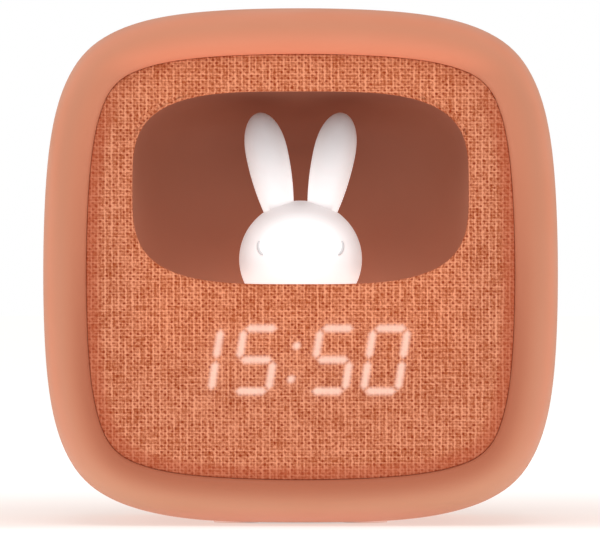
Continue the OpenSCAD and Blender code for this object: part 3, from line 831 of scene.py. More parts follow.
@dataclass(frozen=True)
class LitTime:
    """The lit bars of the time, read from the sizes of the display's wells."""

    middle_z: float = 43.9
    shift: float = -2.2
    hour_pitch: float = 15.1
    colon_pitch: float = 20.1
    minute_pitch: float = 13.9
    colon_after: float = 10.0
    colon_gap: float = 8.8
    colon_down: float = 0.7
    height: float = 18.5
    width: float = 9.0
    bar: float = 2.0
    gap: float = 0.35
    slant: float = 9.2
    soft_in: float = -0.8
    soft_out: float = 0.62
    halo: float = 3.2

    @property
    def row(self) -> float:
        """Height between the rows of level bars."""
        return (self.height - self.bar) / 2

    @property
    def digit_x(self) -> tuple[float, ...]:
        """Middle of each digit across the clock.

        Returns:
            The four places, in millimetres.
        """
        half = (self.hour_pitch + self.colon_pitch + self.minute_pitch) / 2
        left, right = self.shift - half, self.shift + half
        return left, left + self.hour_pitch, right - self.minute_pitch, right

    def bar_distance(self, g: Graph, along: object, across: object, length: float) -> NodeSocket:
        """Distance to a bar with pointed ends, below 0 inside it.

        Args:
            g: The material's nodes.
            along: Place along the bar.
            across: Place across it.
            length: Its length.

        Returns:
            The distance in millimetres.
        """
        a, b = g.calc("ABSOLUTE", across), g.calc("ABSOLUTE", along)
        ends = g.times(g.minus(g.plus(a, b), length / 2), 0.75)
        return g.calc("MAXIMUM", g.minus(a, self.bar / 2), ends)

    def digit(
        self, g: Graph, u: object, v: object, fold: Fold, bars: Sequence[tuple[Lie, float, float]]
    ) -> NodeSocket:
        """Distance to a digit's bars.

        Args:
            g: The material's nodes.
            u: Place across, from the digit's middle, without the slant.
            v: Place up, from the digit's middle.
            fold: How the bars repeat.
            bars: Each bar's lie and its middle, across and up, in the folded digit.

        Returns:
            The distance in millimetres, below 0 inside a bar.
        """
        high = g.calc("ABSOLUTE", v)
        if fold is Fold.HALF_TURN:
            u = g.times(u, g.calc("SIGN", v))
        elif fold is Fold.BOTH_WAYS:
            u = g.calc("ABSOLUTE", u)
        found = []
        for lie, across, up in bars:
            du, dv = g.minus(u, across), g.minus(high, up)
            if lie is Lie.LEVEL:
                found.append(self.bar_distance(g, du, dv, self.width - 2 * self.gap))
            else:
                found.append(self.bar_distance(g, dv, du, self.row - 2 * self.gap))
        return g.least(found)

    def glow(self, g: Graph, x: object, z: object) -> tuple[NodeSocket, NodeSocket]:
        """How brightly each place of the cloth is lit from behind.

        Args:
            g: The material's nodes.
            x: Place across the clock, in millimetres.
            z: Height, in millimetres.

        Returns:
            The lit bars and the faint halo around them, each 0 to 1.
        """
        v = g.minus(z, self.middle_z)
        straight = g.minus(x, g.times(v, math.tan(math.radians(self.slant))))
        side, row = self.width / 2, self.row
        one = [(Lie.UPRIGHT, side, row / 2)]
        five = [(Lie.LEVEL, 0.0, row), (Lie.LEVEL, 0.0, 0.0), (Lie.UPRIGHT, -side, row / 2)]
        zero = [(Lie.LEVEL, 0.0, row), (Lie.UPRIGHT, side, row / 2)]
        turned = (Fold.HALF_TURN, five)
        shapes = [(Fold.UP_DOWN, one), turned, turned, (Fold.BOTH_WAYS, zero)]
        found = [
            self.digit(g, g.minus(straight, middle), v, fold, bars)
            for middle, (fold, bars) in zip(self.digit_x, shapes)
        ]
        du = g.minus(straight, self.digit_x[1] + self.colon_after)
        dv = g.minus(g.calc("ABSOLUTE", g.plus(v, self.colon_down)), self.colon_gap / 2)
        reach = g.calc("SQRT", g.plus(g.times(du, du), g.times(dv, dv)))
        nearest = g.least([*found, g.minus(reach, self.bar / 2)])
        return g.spread(nearest, self.soft_out, self.soft_in), g.spread(nearest, self.halo, 0.0)


@dataclass(frozen=True)
class WovenCloth:
    """Plain-woven linen cloth, lit from behind where the time shows, with painted shade along its turned-in
    edges and painted light in its middle.
    """

    name: str = "panel_cloth"
    pitch_x: float = 0.902
    pitch_z: float = 0.799
    light: Colour = tone(226, 149, 114)
    mean: Colour = tone(164, 80, 43)
    dark: Colour = tone(136, 38, 4)
    # painted shade of the turned-in edges
    turned: Colour = tone(176, 82, 54)
    behind_lit: Colour = tone(196, 120, 90)
    painted_middle_light: Colour = (1.09, 1.06, 1.02, 1.0)
    glow: Colour = (0.46, 0.42, 0.38, 1.0)
    time: LitTime = field(default_factory=LitTime)

    def make(self) -> Material:
        """Builds the material.

        Returns:
            The material.
        """
        g = Graph(self.name)
        across, _, up = g.split(g.stored("weave", vector=True))
        # threads wander a little
        wander_x = g.noise(170.0, 1.0, g.joined(across, 0.0, up), (3.0, 1.0, 0.6))
        wander_z = g.noise(190.0, 1.0, g.joined(up, 0.3, across), (3.0, 1.0, 0.6))
        x = g.plus(g.times(across, 1 / (self.pitch_x * MM)), g.spread(wander_x, 0.2, 0.8, -0.16, 0.16))
        z = g.plus(g.times(up, 1 / (self.pitch_z * MM)), g.spread(wander_z, 0.2, 0.8, -0.16, 0.16))
        sine_x = g.calc("SINE", g.times(x, math.pi))
        sine_z = g.calc("SINE", g.times(z, math.pi))
        over = g.times(sine_x, sine_z)
        # each thread has its own shade, which changes along it
        shade_x = g.noise(1.0, 1.0, g.joined(g.calc("FLOOR", x), g.times(z, 0.12), 0.37))
        shade_z = g.noise(1.0, 1.0, g.joined(g.times(x, 0.12), g.calc("FLOOR", z), 7.43))
        slub = g.spread(g.plus(shade_x, shade_z), 0.75, 1.25, -0.22, 0.22, smooth=False)
        pair_x, pair_z = g.calc("FLOOR", g.times(x, 0.5)), g.calc("FLOOR", g.times(z, 0.5))
        strand_x = g.noise(1.0, 1.0, g.joined(pair_x, g.times(z, 0.16), 3.37))
        strand_z = g.noise(1.0, 1.0, g.joined(g.times(x, 0.16), pair_z, 11.41))
        fuzz = g.noise(4200.0, 2.0)
        # the dark eyes lie in staggered rows, and every second thread each way stands out between them
        cell = g.joined(g.calc("ROUND", g.minus(x, 0.5)), g.calc("ROUND", g.minus(z, 0.5)))
        chance = g.put("ShaderNodeTexWhiteNoise", {"Vector": cell}, noise_dimensions="3D").outputs["Value"]
        eye = g.times(g.spread(over, -0.1, -0.85), g.spread(chance, 0.0, 1.0, 0.35, 1.0, smooth=False))
        crest_x = g.spread(g.calc("COSINE", g.times(x, math.pi)), 0.0, -1.0)
        crest_z = g.spread(g.calc("COSINE", g.times(z, math.pi)), 0.0, -1.0)
        bright_x = g.times(crest_x, g.spread(strand_x, 0.3, 0.7, 0.2, 0.9))
        bright_z = g.times(crest_z, g.spread(strand_z, 0.3, 0.7, 0.1, 0.62))
        strand = g.times(g.calc("MAXIMUM", bright_x, bright_z), 0.7)
        height = g.plus(g.minus(strand, eye), g.times(fuzz, 0.35))
        thread = g.times(g.calc("MAXIMUM", g.calc("ABSOLUTE", sine_x), g.calc("ABSOLUTE", sine_z)), -0.3)
        share = g.plus(strand, 0.45, thread, slub)
        level = g.noise(1700.0, 2.0, g.joined(across, 0.0, up), (0.5, 1.0, 1.6))
        plumb = g.noise(1700.0, 2.0, g.joined(across, 3.0, up), (1.6, 1.0, 0.5))
        fibre = g.plus(level, plumb, fuzz)
        share = g.calc("ADD", share, g.spread(fibre, 1.1, 1.9, -0.36, 0.64, smooth=False), clamp=True)
        base = g.blend(share, self.mean, self.light)
        base = g.blend(g.times(eye, 0.9), base, self.dark)
        # painted light: the middle of the cloth is lighter than its sides and bottom
        middle = g.times(g.spread(g.calc("ABSOLUTE", across), 0.052, 0.034), g.spread(up, 0.034, 0.054))
        base = g.blend(middle, base, g.blend(1.0, base, self.painted_middle_light, "MULTIPLY"))
        # painted shade along the cloth's turned-in edges, less at the top
        painted_edge_shade = g.times(g.stored("turned"), g.spread(up, 0.098, 0.122, 0.9, 0.15))
        base = g.blend(painted_edge_shade, base, self.turned)
        lit, halo = self.time.glow(g, g.times(across, 1 / MM), g.times(up, 1 / MM))
        through = g.times(lit, g.spread(g.plus(fuzz, share), 0.2, 1.6, 0.86, 1.0))
        glow = g.calc("ADD", through, g.times(halo, 0.045), clamp=True)
        base = g.blend(g.times(lit, 0.85), base, self.behind_lit)
        g.bump(height, 0.00016, 0.55)
        return g.dress(
            Base_Color=base,
            Roughness=g.rough(fuzz, 0.72, 0.9),
            Sheen_Weight=0.08,
            Sheen_Roughness=0.5,
            Sheen_Tint=tone(255, 196, 150),
            Specular_IOR_Level=0.1,
            Emission_Color=g.blend(glow, BLACK, self.glow),
            Emission_Strength=1.0,
        )


@dataclass(frozen=True)
class LampGlow:
    """Milky lamp skin that glows by a stored share: more strongly near its light, with painted shade and
    painted highlight in that share.
    """

    name: str = "lamp_diffuser"
    colour: Colour = tone(208, 205, 207)
    light: Colour = tone(255, 247, 243)
    strength: float = 0.6

    def make(self) -> Material:
        """Builds the material.

        Returns:
            The material.
        """
        g = Graph(self.name)
        cloud = g.noise(90.0, 3.0)
        base = g.blend(g.spread(cloud, 0.3, 0.7, 0.0, 0.15), self.colour, tone(226, 222, 224))
        g.bump(g.noise(1800.0, 2.0), 0.00002, 0.3)
        return g.dress(
            Base_Color=base,
            Roughness=g.rough(cloud, 0.42, 0.5),
            Specular_IOR_Level=0.3,
            Emission_Color=self.light,
            Emission_Strength=g.times(g.stored("glow"), self.strength),
        )


@dataclass(frozen=True)
class BowlPlastic:
    """Matt moulded plastic of the niche, painted lighter towards its floor and painted darker at its top, as
    light and shade.
    """

    name: str = "niche_plastic"
    colour: Colour = tone(160, 98, 76)
    painted_low_light: Colour = tone(208, 140, 112)
    painted_top_shading: Colour = tone(146, 88, 69)

    def make(self) -> Material:
        """Builds the material.

        Returns:
            The material.
        """
        g = Graph(self.name)
        height = g.split(g.place)[2]
        # painted light: lighter towards the niche's floor, where light falls
        base = g.blend(g.spread(height, 0.114, 0.062, smooth=False), self.colour, self.painted_low_light)
        # painted shade: darker at the top of the niche
        base = g.blend(g.spread(height, 0.1105, 0.1145), base, self.painted_top_shading)
        cloud = g.noise(45.0, 3.0)
        base = g.drifted(base, cloud, 0.10, tone(222, 208, 204))
        g.bump(g.noise(2200.0, 2.0), 0.00003, 0.4)
        return g.dress(Base_Color=base, Roughness=g.rough(cloud, 0.6, 0.7), Specular_IOR_Level=0.25)


@dataclass(frozen=True)
class CircuitBoard:
    """Solder mask over copper tracks."""

    name: str = "circuit_board"
    mask: Colour = tone(38, 92, 58)
    track: Colour = tone(64, 128, 82)
    pitch: float = 520.0

    def make(self) -> Material:
        """Builds the material.

        Returns:
            The material.
        """
        g = Graph(self.name)
        across, _, up = g.split(g.place)
        feeds = {"Vector": g.joined(across, up), "Scale": self.pitch, "Mortar Size": 0.12}
        run = g.put("ShaderNodeTexBrick", feeds).outputs["Fac"]
        tracks = g.times(run, g.spread(g.noise(90.0, 1.0), 0.48, 0.52))
        g.bump(tracks, 0.00003, 0.6)
        return g.dress(
            Base_Color=g.blend(tracks, self.mask, self.track),
            Roughness=g.rough(g.noise(400.0), 0.3, 0.42),
            Specular_IOR_Level=0.5,
        )


@dataclass(frozen=True)
class PlatedMetal:
    """Plated steel with faint turning or rolling marks, painted dark as shade before the recess's span along
    Y.
    """

    name: str
    colour: Colour
    roughness: float = 0.3
    marks: Triple = (1.0, 1.0, 14.0)
    recess: Pair = (-1.0, -0.9)

    def make(self) -> Material:
        """Builds the material.

        Returns:
            The material.
        """
        g = Graph(self.name)
        marks = g.noise(500.0, 3.0, stretch=self.marks)
        g.bump(marks, 0.00001, 0.5)
        plate = g.blend(g.spread(marks, 0.3, 0.7, 0.0, 0.3), self.colour, tone(120, 120, 122))
        _, depth, _ = g.split(g.place)
        return g.dress(
            # painted shade: dark deep in the recess
            Base_Color=g.blend(g.spread(depth, *self.recess), tone(58, 54, 54), plate),
            Metallic=1.0,
            Roughness=g.rough(marks, self.roughness - 0.08, self.roughness + 0.12),
        )


@dataclass(frozen=True)
class Grained:
    """A finish whose second colour, gloss and relief follow one noise."""

    name: str
    colour: Colour
    second: Colour
    scale: float
    detail: float
    shares: Triple
    gloss: Pair
    relief: Pair
    stretch: Triple = (1.0, 1.0, 1.0)
    relief_scale: float | None = None
    feeds: dict[str, object] = field(default_factory=dict)

    def make(self) -> Material:
        """Builds the material.

        Returns:
            The material.
        """
        g = Graph(self.name)
        grain = g.noise(self.scale, self.detail, stretch=self.stretch)
        g.bump(g.noise(self.relief_scale, 2.0) if self.relief_scale else grain, *self.relief)
        low, high, most = self.shares
        base = g.blend(g.spread(grain, low, high, 0.0, most), self.colour, self.second)
        return g.dress(Base_Color=base, Roughness=g.rough(grain, *self.gloss), **self.feeds)


@dataclass(frozen=True)
class LedPackage:
    """White LED package with a yellow phosphor patch."""

    name: str = "led_package"
    colour: Colour = tone(240, 234, 214)
    phosphor: Colour = tone(236, 200, 96)

    def make(self) -> Material:
        """Builds the material.

        Returns:
            The material.
        """
        g = Graph(self.name)
        patch = g.spread(g.noise(700.0, 1.0), 0.5, 0.6)
        g.bump(patch, 0.00002, 0.4)
        return g.dress(
            Base_Color=g.blend(patch, self.colour, self.phosphor),
            Roughness=g.rough(g.noise(500.0), 0.3, 0.5),
            Specular_IOR_Level=0.5,
        )


class Finish(Enum):
    """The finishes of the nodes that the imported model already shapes."""

    HOUSING = MouldedPlastic("housing_plastic", tone(214, 104, 74))
    COVER = MouldedPlastic("cover_plastic", tone(210, 134, 102), 0.6, 1300.0, 0.00005)
    WHITE = MouldedPlastic("reflector_plastic", tone(238, 234, 226), 0.4)
    DARK = MouldedPlastic("dark_plastic", tone(44, 44, 46), 0.5)
    KEY = MouldedPlastic("key_plastic", tone(196, 108, 76), 0.48, 1700.0, 0.00002)
    BOARD = CircuitBoard()
    LED = LedPackage()
    FILM = Grained(
        name="display_film",
        colour=tone(246, 238, 230),
        second=tone(232, 222, 212),
        scale=300.0,
        detail=2.0,
        shares=(0.3, 0.7, 0.2),
        gloss=(0.4, 0.55),
        relief=(0.00001, 0.3),
        stretch=(0.2, 1.0, 3.0),
        feeds={"Specular_IOR_Level": 0.4},
    )
    WRAP = Grained(
        name="battery_wrap",
        colour=tone(70, 118, 172),
        second=tone(58, 96, 146),
        scale=160.0,
        detail=4.0,
        shares=(0.3, 0.7, 0.35),
        gloss=(0.22, 0.36),
        relief=(0.00008, 0.5),
        stretch=(0.25, 1.0, 2.5),
        feeds={"Coat_Weight": 0.2},
    )
    PAPER = Grained(
        name="speaker_paper",
        colour=tone(34, 34, 36),
        second=tone(70, 68, 66),
        scale=900.0,
        detail=5.0,
        shares=(0.45, 0.75, 1.0),
        gloss=(0.8, 0.95),
        relief=(0.00006, 0.7),
        stretch=(1.0, 1.0, 0.3),
    )
    # the pads' faint glow is painted light, which keeps them pale in the shade under the clock
    RUBBER = Grained(
        name="foot_rubber",
        colour=tone(232, 214, 204),
        second=tone(190, 164, 150),
        scale=220.0,
        detail=4.0,
        shares=(0.5, 0.75, 0.25),
        gloss=(0.75, 0.9),
        relief=(0.00004, 0.5),
        relief_scale=3000.0,
        feeds={"Specular_IOR_Level": 0.25, "Emission_Color": tone(236, 208, 196), "Emission_Strength": 0.4},
    )
    SCREW = PlatedMetal("screw_steel", tone(150, 150, 154))
    COVER_SCREW = PlatedMetal("cover_screw_steel", tone(164, 164, 168), recess=(0.0463, 0.0468))
    SOCKET = PlatedMetal("socket_steel", tone(196, 198, 202), 0.24, (1.0, 8.0, 1.0), (0.0455, 0.0461))
    INK = MouldedPlastic("key_print", tone(244, 226, 214), 0.6, 2600.0, 0.00001, 0.15)


# ---- Sub-assemblies ----


@dataclass
class Jacket:
    """Silicone jacket from the groove around the cloth to the rear cover."""

    form: ClockForm = FORM
    around: int = 256
    front_steps: int = 30
    rear_steps: int = 18
    nose_steps: int = 6
    nose_share: float = 0.7
    rear_lip: float = 5.5
    inner_steps: int = 8
    foot_radius: float = 6.1
    foot_x: float = 17.0
    crease: float = 50.0
    foot_in: float = 6.0
    foot_seat: float = 1.35
    edge_from: float = 4.0
    edge_deep: float = 9.0
    edge_fade: float = 6.0

    def rounded(self, face: Pair, side: Pair, steps: int) -> list[Pair]:
        """Quarter ellipse from a point on the face to one on the side, without the first point."""
        (x0, y0), (x1, y1), turns = face, side, [math.pi / 2 * i / steps for i in range(1, steps + 1)]
        return [(x0 + (x1 - x0) * math.sin(a), y1 + (y0 - y1) * math.cos(a)) for a in turns]

    def profile(self) -> list[tuple[float, float, bool]]:
        """Inset and place along Y of each ring around the wall, and whether it lies on the inside.

        Returns:
            The rings, from the front lip around and back to it.
        """
        f = self.form
        nose = self.nose_share * f.wall
        rear_lip = f.rear - self.rear_lip
        quarter = [math.pi / 2 * i / self.nose_steps for i in range(self.nose_steps + 1)]
        inner_front, inner_rear = (f.rim - f.wall, f.front + f.wall), (f.rear_rim - f.wall, f.rear - f.wall)
        outer_face, outer_side = (f.rear_rim - nose, f.rear), (f.rear_taper, f.rear_start)
        outside = [
            (f.rim, f.lip),
            *[(f.rim - nose * (1 - math.cos(a)), f.front + nose * (1 - math.sin(a))) for a in quarter],
            *self.rounded((f.rim - nose, f.front), (0.0, f.widest), self.front_steps),
            *reversed(self.rounded(outer_face, outer_side, self.rear_steps)),
            *[(f.rear_rim - nose * (1 - math.sin(a)), f.rear - nose * (1 - math.cos(a))) for a in quarter],
            (f.rear_rim, rear_lip),
        ]
        inside = [
            (f.rear_rim - f.wall, rear_lip),
            inner_rear,
            *self.rounded(inner_rear, (f.rear_taper + f.wall, f.rear_start), self.inner_steps),
            *reversed(self.rounded(inner_front, (f.wall, f.widest), self.inner_steps)),
            inner_front,
            (f.rim - f.wall, f.lip),
        ]
        rings = [(inset, y, False) for inset, y in outside] + [(inset, y, True) for inset, y in inside]
        return [*rings, rings[0]]

    def build(self) -> Object:
        """Builds the jacket, with the seats of the feet cut into it.

        Returns:
            The piece.
        """
        f = self.form
        skin = RingSkin(self.around)
        for inset, y, inner in self.profile():
            skin.ring(f.body(inset, y, inner))
        piece = set_in_place(
            skin.close(),
            "jacket",
            SoftSilicone().make(),
            stands_for=["silicone_jacket"],
            crease=self.crease,
        )
        # stores the share by which the material paints highlight and shade near the groove
        paint(piece, "edge", self.groove_paint_share)
        return self.seated(piece)

    def groove_paint_share(self, at: Vector) -> float:
        """How near a place is to the groove around the cloth, 0 to 1; the material paints highlight and shade
        there by it.

        Args:
            at: The place, in millimetres.

        Returns:
            The share.
        """
        f = self.form
        turn = math.atan2(at.z - f.middle, at.x) / (2 * math.pi) % 1.0
        out, panel = f.reach(0.0, turn), f.reach(f.rim, turn)
        inset = f.rim * (out - math.hypot(at.x, at.z - f.middle)) / (out - panel)
        return ease(inset, self.edge_from, f.rim) * ease(f.front + self.edge_deep - at.y, 0.0, self.edge_fade)

    def seated(self, piece: Object) -> Object:
        """Cuts the seats of the four feet out of the jacket's underside.

        Args:
            piece: The jacket.

        Returns:
            The same piece with its seats.
        """
        f = self.form
        radius, top, below = self.foot_radius * MM, f.foot + self.foot_seat, 1.0
        cutters = []
        for x in (-self.foot_x, self.foot_x):
            for y in (f.widest + self.foot_in, f.rear_start - self.foot_in):
                cutter = bmesh.new()
                bmesh.ops.create_cone(
                    cutter,
                    cap_ends=True,
                    segments=64,
                    radius1=radius,
                    radius2=radius,
                    depth=(top + below) * MM,
                    matrix=Matrix.Translation(Vector((x, y, (top - below) / 2)) * MM),
                )
                cutters.append(cutter)
        cutter_piece = linked("foot_seats", mesh_of(merged(*cutters), "foot_seats"))
        cut = piece.modifiers.new("foot_seats", "BOOLEAN")
        cut.operation, cut.solver, cut.object = "DIFFERENCE", "EXACT", cutter_piece
        bpy.context.view_layer.update()
        state = bpy.context.evaluated_depsgraph_get()
        done = bpy.data.meshes.new_from_object(
            piece.evaluated_get(state), preserve_all_data_layers=True, depsgraph=state
        )
        piece.modifiers.clear()
        done.set_sharp_from_angle(angle=math.radians(self.crease))
        piece.data = done
        bpy.data.objects.remove(cutter_piece)
        return piece


@dataclass
class FrontCloth:
    """Cloth stretched over the panel and turned in at its edge and at the window."""

    form: ClockForm = FORM
    around: int = 320
    outer_radius: float = 0.3
    window_radius: float = 0.9
    roll_steps: int = 9
    face_steps: int = 10
    # inset and share of painted shade of the rings just inside the cloth's edge
    painted_edge_shade: tuple[Pair, ...] = ((1.3, 0.6), (2.5, 0.5), (3.3, 0.3), (4.2, 0.0))
    thickness: float = 0.55
    crease: float = 80.0

    @property
    def half(self) -> float:
        """Half width of the stretched cloth."""
        return self.form.width / 2 - self.form.rim - self.form.groove

    @property
    def tuck(self) -> float:
        """How deep the cloth turns in behind its face."""
        return self.form.lip - self.form.cloth_y

    def slack(self, radius: float) -> float:
        """Inset that the flat cloth is shifted by, so that its face stays in place beside a roll."""
        return radius - math.pi / 2 * radius

    def turned_in(self, radius: float) -> float:
        """Width of the flat cloth beyond the outline of a roll."""
        return radius * (math.pi / 2 - 1) + self.tuck - radius

    def rolled(self, radius: float) -> list[Triple]:
        """Inset, depth and flat inset of each ring from the cloth's end to its face.

        Args:
            radius: The roll's radius.

        Returns:
            The rings.
        """
        straight = self.tuck - radius
        rings = [(0.0, self.tuck, -straight), (0.0, radius + straight * 0.45, -straight * 0.45)]
        for i in range(self.roll_steps + 1):
            a = math.pi / 2 * i / self.roll_steps
            rings.append((radius * (1 - math.cos(a)), radius * (1 - math.sin(a)), radius * a))
        return rings

    def build(self) -> Object:
        """Builds the cloth, with each point's place in the flat cloth stored for the weave.

        Returns:
            The piece.
        """
        f = self.form
        skin = RingSkin(self.around)

        def lay(place: Place, flat_place: Place, turn_share: float) -> None:
            """Adds a ring with its place in the flat cloth.

            Args:
                place: The ring's point for each share of a turn.
                flat_place: The same in the flat cloth.
                turn_share: How much of the painted shade of the turned-in edge the ring takes, 0 to 1.
            """
            for vert in skin.ring(place):
                vert[skin.flat] = flat_place(vert[skin.turn] / skin.count)
                vert[skin.turned] = turn_share

        edge, slack, radius = f.rim + f.groove, self.slack(self.outer_radius), self.outer_radius
        for inset, deep, along in self.rolled(radius):
            # painted shade on the roll at the cloth's edge
            turned = 1 - 0.4 * ease(along, 0.2 * radius, 1.5 * radius)
            lay(f.body(edge + inset, f.cloth_y + deep), f.body(edge + slack + along, f.cloth_y), turned)
        # painted shade that fades into the face just inside the edge
        for inset, painted_edge_shade in self.painted_edge_shade:
            lay(f.body(edge + inset, f.cloth_y), f.body(edge + inset, f.cloth_y), painted_edge_shade)
        outer = f.body(edge + self.painted_edge_shade[-1][0], f.cloth_y)
        inner = f.window_ring(self.window_radius, f.cloth_y)
        for i in range(1, self.face_steps):

            def between(turn: float, share: float = i / self.face_steps) -> Vector:
                """Place between the panel's edge and the window's."""
                return outer(turn).lerp(inner(turn), share)

            lay(between, between, 0.0)
        slack = self.slack(self.window_radius)
        for inset, deep, along in reversed(self.rolled(self.window_radius)):
            # painted shade on the window's turned-in wall
            turned = 1 - ease(along, -1.0, 0.5)
            lay(f.window_ring(inset, f.cloth_y + deep), f.window_ring(slack + along, f.cloth_y), turned)
        bmesh.ops.recalc_face_normals(skin.bm, faces=skin.bm.faces)
        skin.bm.faces.ensure_lookup_table()
        front = max(skin.bm.faces, key=lambda face: face.calc_area())
        if front.normal.y > 0:
            bmesh.ops.reverse_faces(skin.bm, faces=skin.bm.faces)
        finish = WovenCloth().make()
        piece = set_in_place(
            skin.bm, "cloth", finish, stands_for=["grille_cloth"], crease=self.crease
        )
        wall = piece.modifiers.new("thickness", "SOLIDIFY")
        wall.thickness, wall.offset = self.thickness * MM, -1.0
        grow, shrink = self.turned_in(self.outer_radius), self.turned_in(self.window_radius)
        opening = rounded_area(f.window_w / 2 - shrink, f.window_h / 2 - shrink, f.window_squareness)
        area = f.panel_area(edge - grow) - opening
        return piece


@dataclass
class Niche:
    """Moulded bowl behind the window, with a flat floor below the window's lip."""

    form: ClockForm = FORM
    around: int = 256
    deep: float = 38.0
    wall: float = 1.6
    flange: float = 2.6
    drop: float = 6.7
    mouth: float = 0.2
    power: float = 0.4
    fall: float = 12.0
    deepen: float = 1.8
    last_angle: float = 82.0
    steps: int = 40
    back_rings: tuple[float, ...] = (0.0, 0.25, 0.5, 0.75, 0.9)
    crease: float = 40.0

    @property
    def floor(self) -> float:
        """Height of the niche's floor."""
        return self.form.window - self.form.window_h / 2 - self.drop

    def bowl(self, angle: float, wall: float, shrink: float = 1.0) -> Place:
        """A ring of the bowl.

        Args:
            angle: Angle from the mouth to the back, in degrees.
            wall: 0 for the inside, the wall's thickness for the outside.
            shrink: Share of the ring's size that is left, for the flat back.

        Returns:
            The ring's place for each share of a turn, in metres.
        """
        f = self.form
        k = math.cos(math.radians(angle)) ** self.power
        y = f.panel_back + (self.deep + wall) * math.sin(math.radians(angle))
        half_w, half_h = f.window_w / 2 + self.mouth + wall, f.window_h / 2 + self.mouth + wall
        half_w, top = half_w * k, half_h * k
        low = (half_h + self.deepen * self.drop * min(1.0, angle / self.fall)) * k

        def place(turn: float) -> Vector:
            """Point of the ring, kept above the floor.

            Args:
                turn: Share of a whole turn.

            Returns:
                The point, in metres.
            """
            across, up = rounded_point(half_w, low if turn > 0.5 else top, f.window_squareness, turn)
            up = max(up, self.floor - wall - f.window)
            return Vector((across * shrink, y, f.window + up * shrink)) * MM

        return place

    def build(self) -> Object:
        """Builds the niche.

        Returns:
            The piece.
        """
        f = self.form
        skin = RingSkin(self.around)
        angles = [self.last_angle * i / self.steps for i in range(self.steps + 1)]
        for shrink in self.back_rings:
            skin.ring(self.bowl(self.last_angle, 0.0, shrink))
        for angle in reversed(angles):
            skin.ring(self.bowl(angle, 0.0))
        rim = self.wall + self.flange
        skin.ring(f.window_ring(rim, f.panel_back))
        skin.ring(f.window_ring(rim, f.panel_back + self.wall))
        first = math.degrees(math.asin(self.wall / (self.deep + self.wall)))
        skin.ring(self.bowl(first, self.wall))
        for angle in angles:
            if angle > first:
                skin.ring(self.bowl(angle, self.wall))
        for shrink in reversed(self.back_rings):
            skin.ring(self.bowl(self.last_angle, self.wall, shrink))
        bm, finish = skin.close(), BowlPlastic().make()
        return set_in_place(
            bm, "niche", finish, stands_for=["light_niche"], crease=self.crease
        )


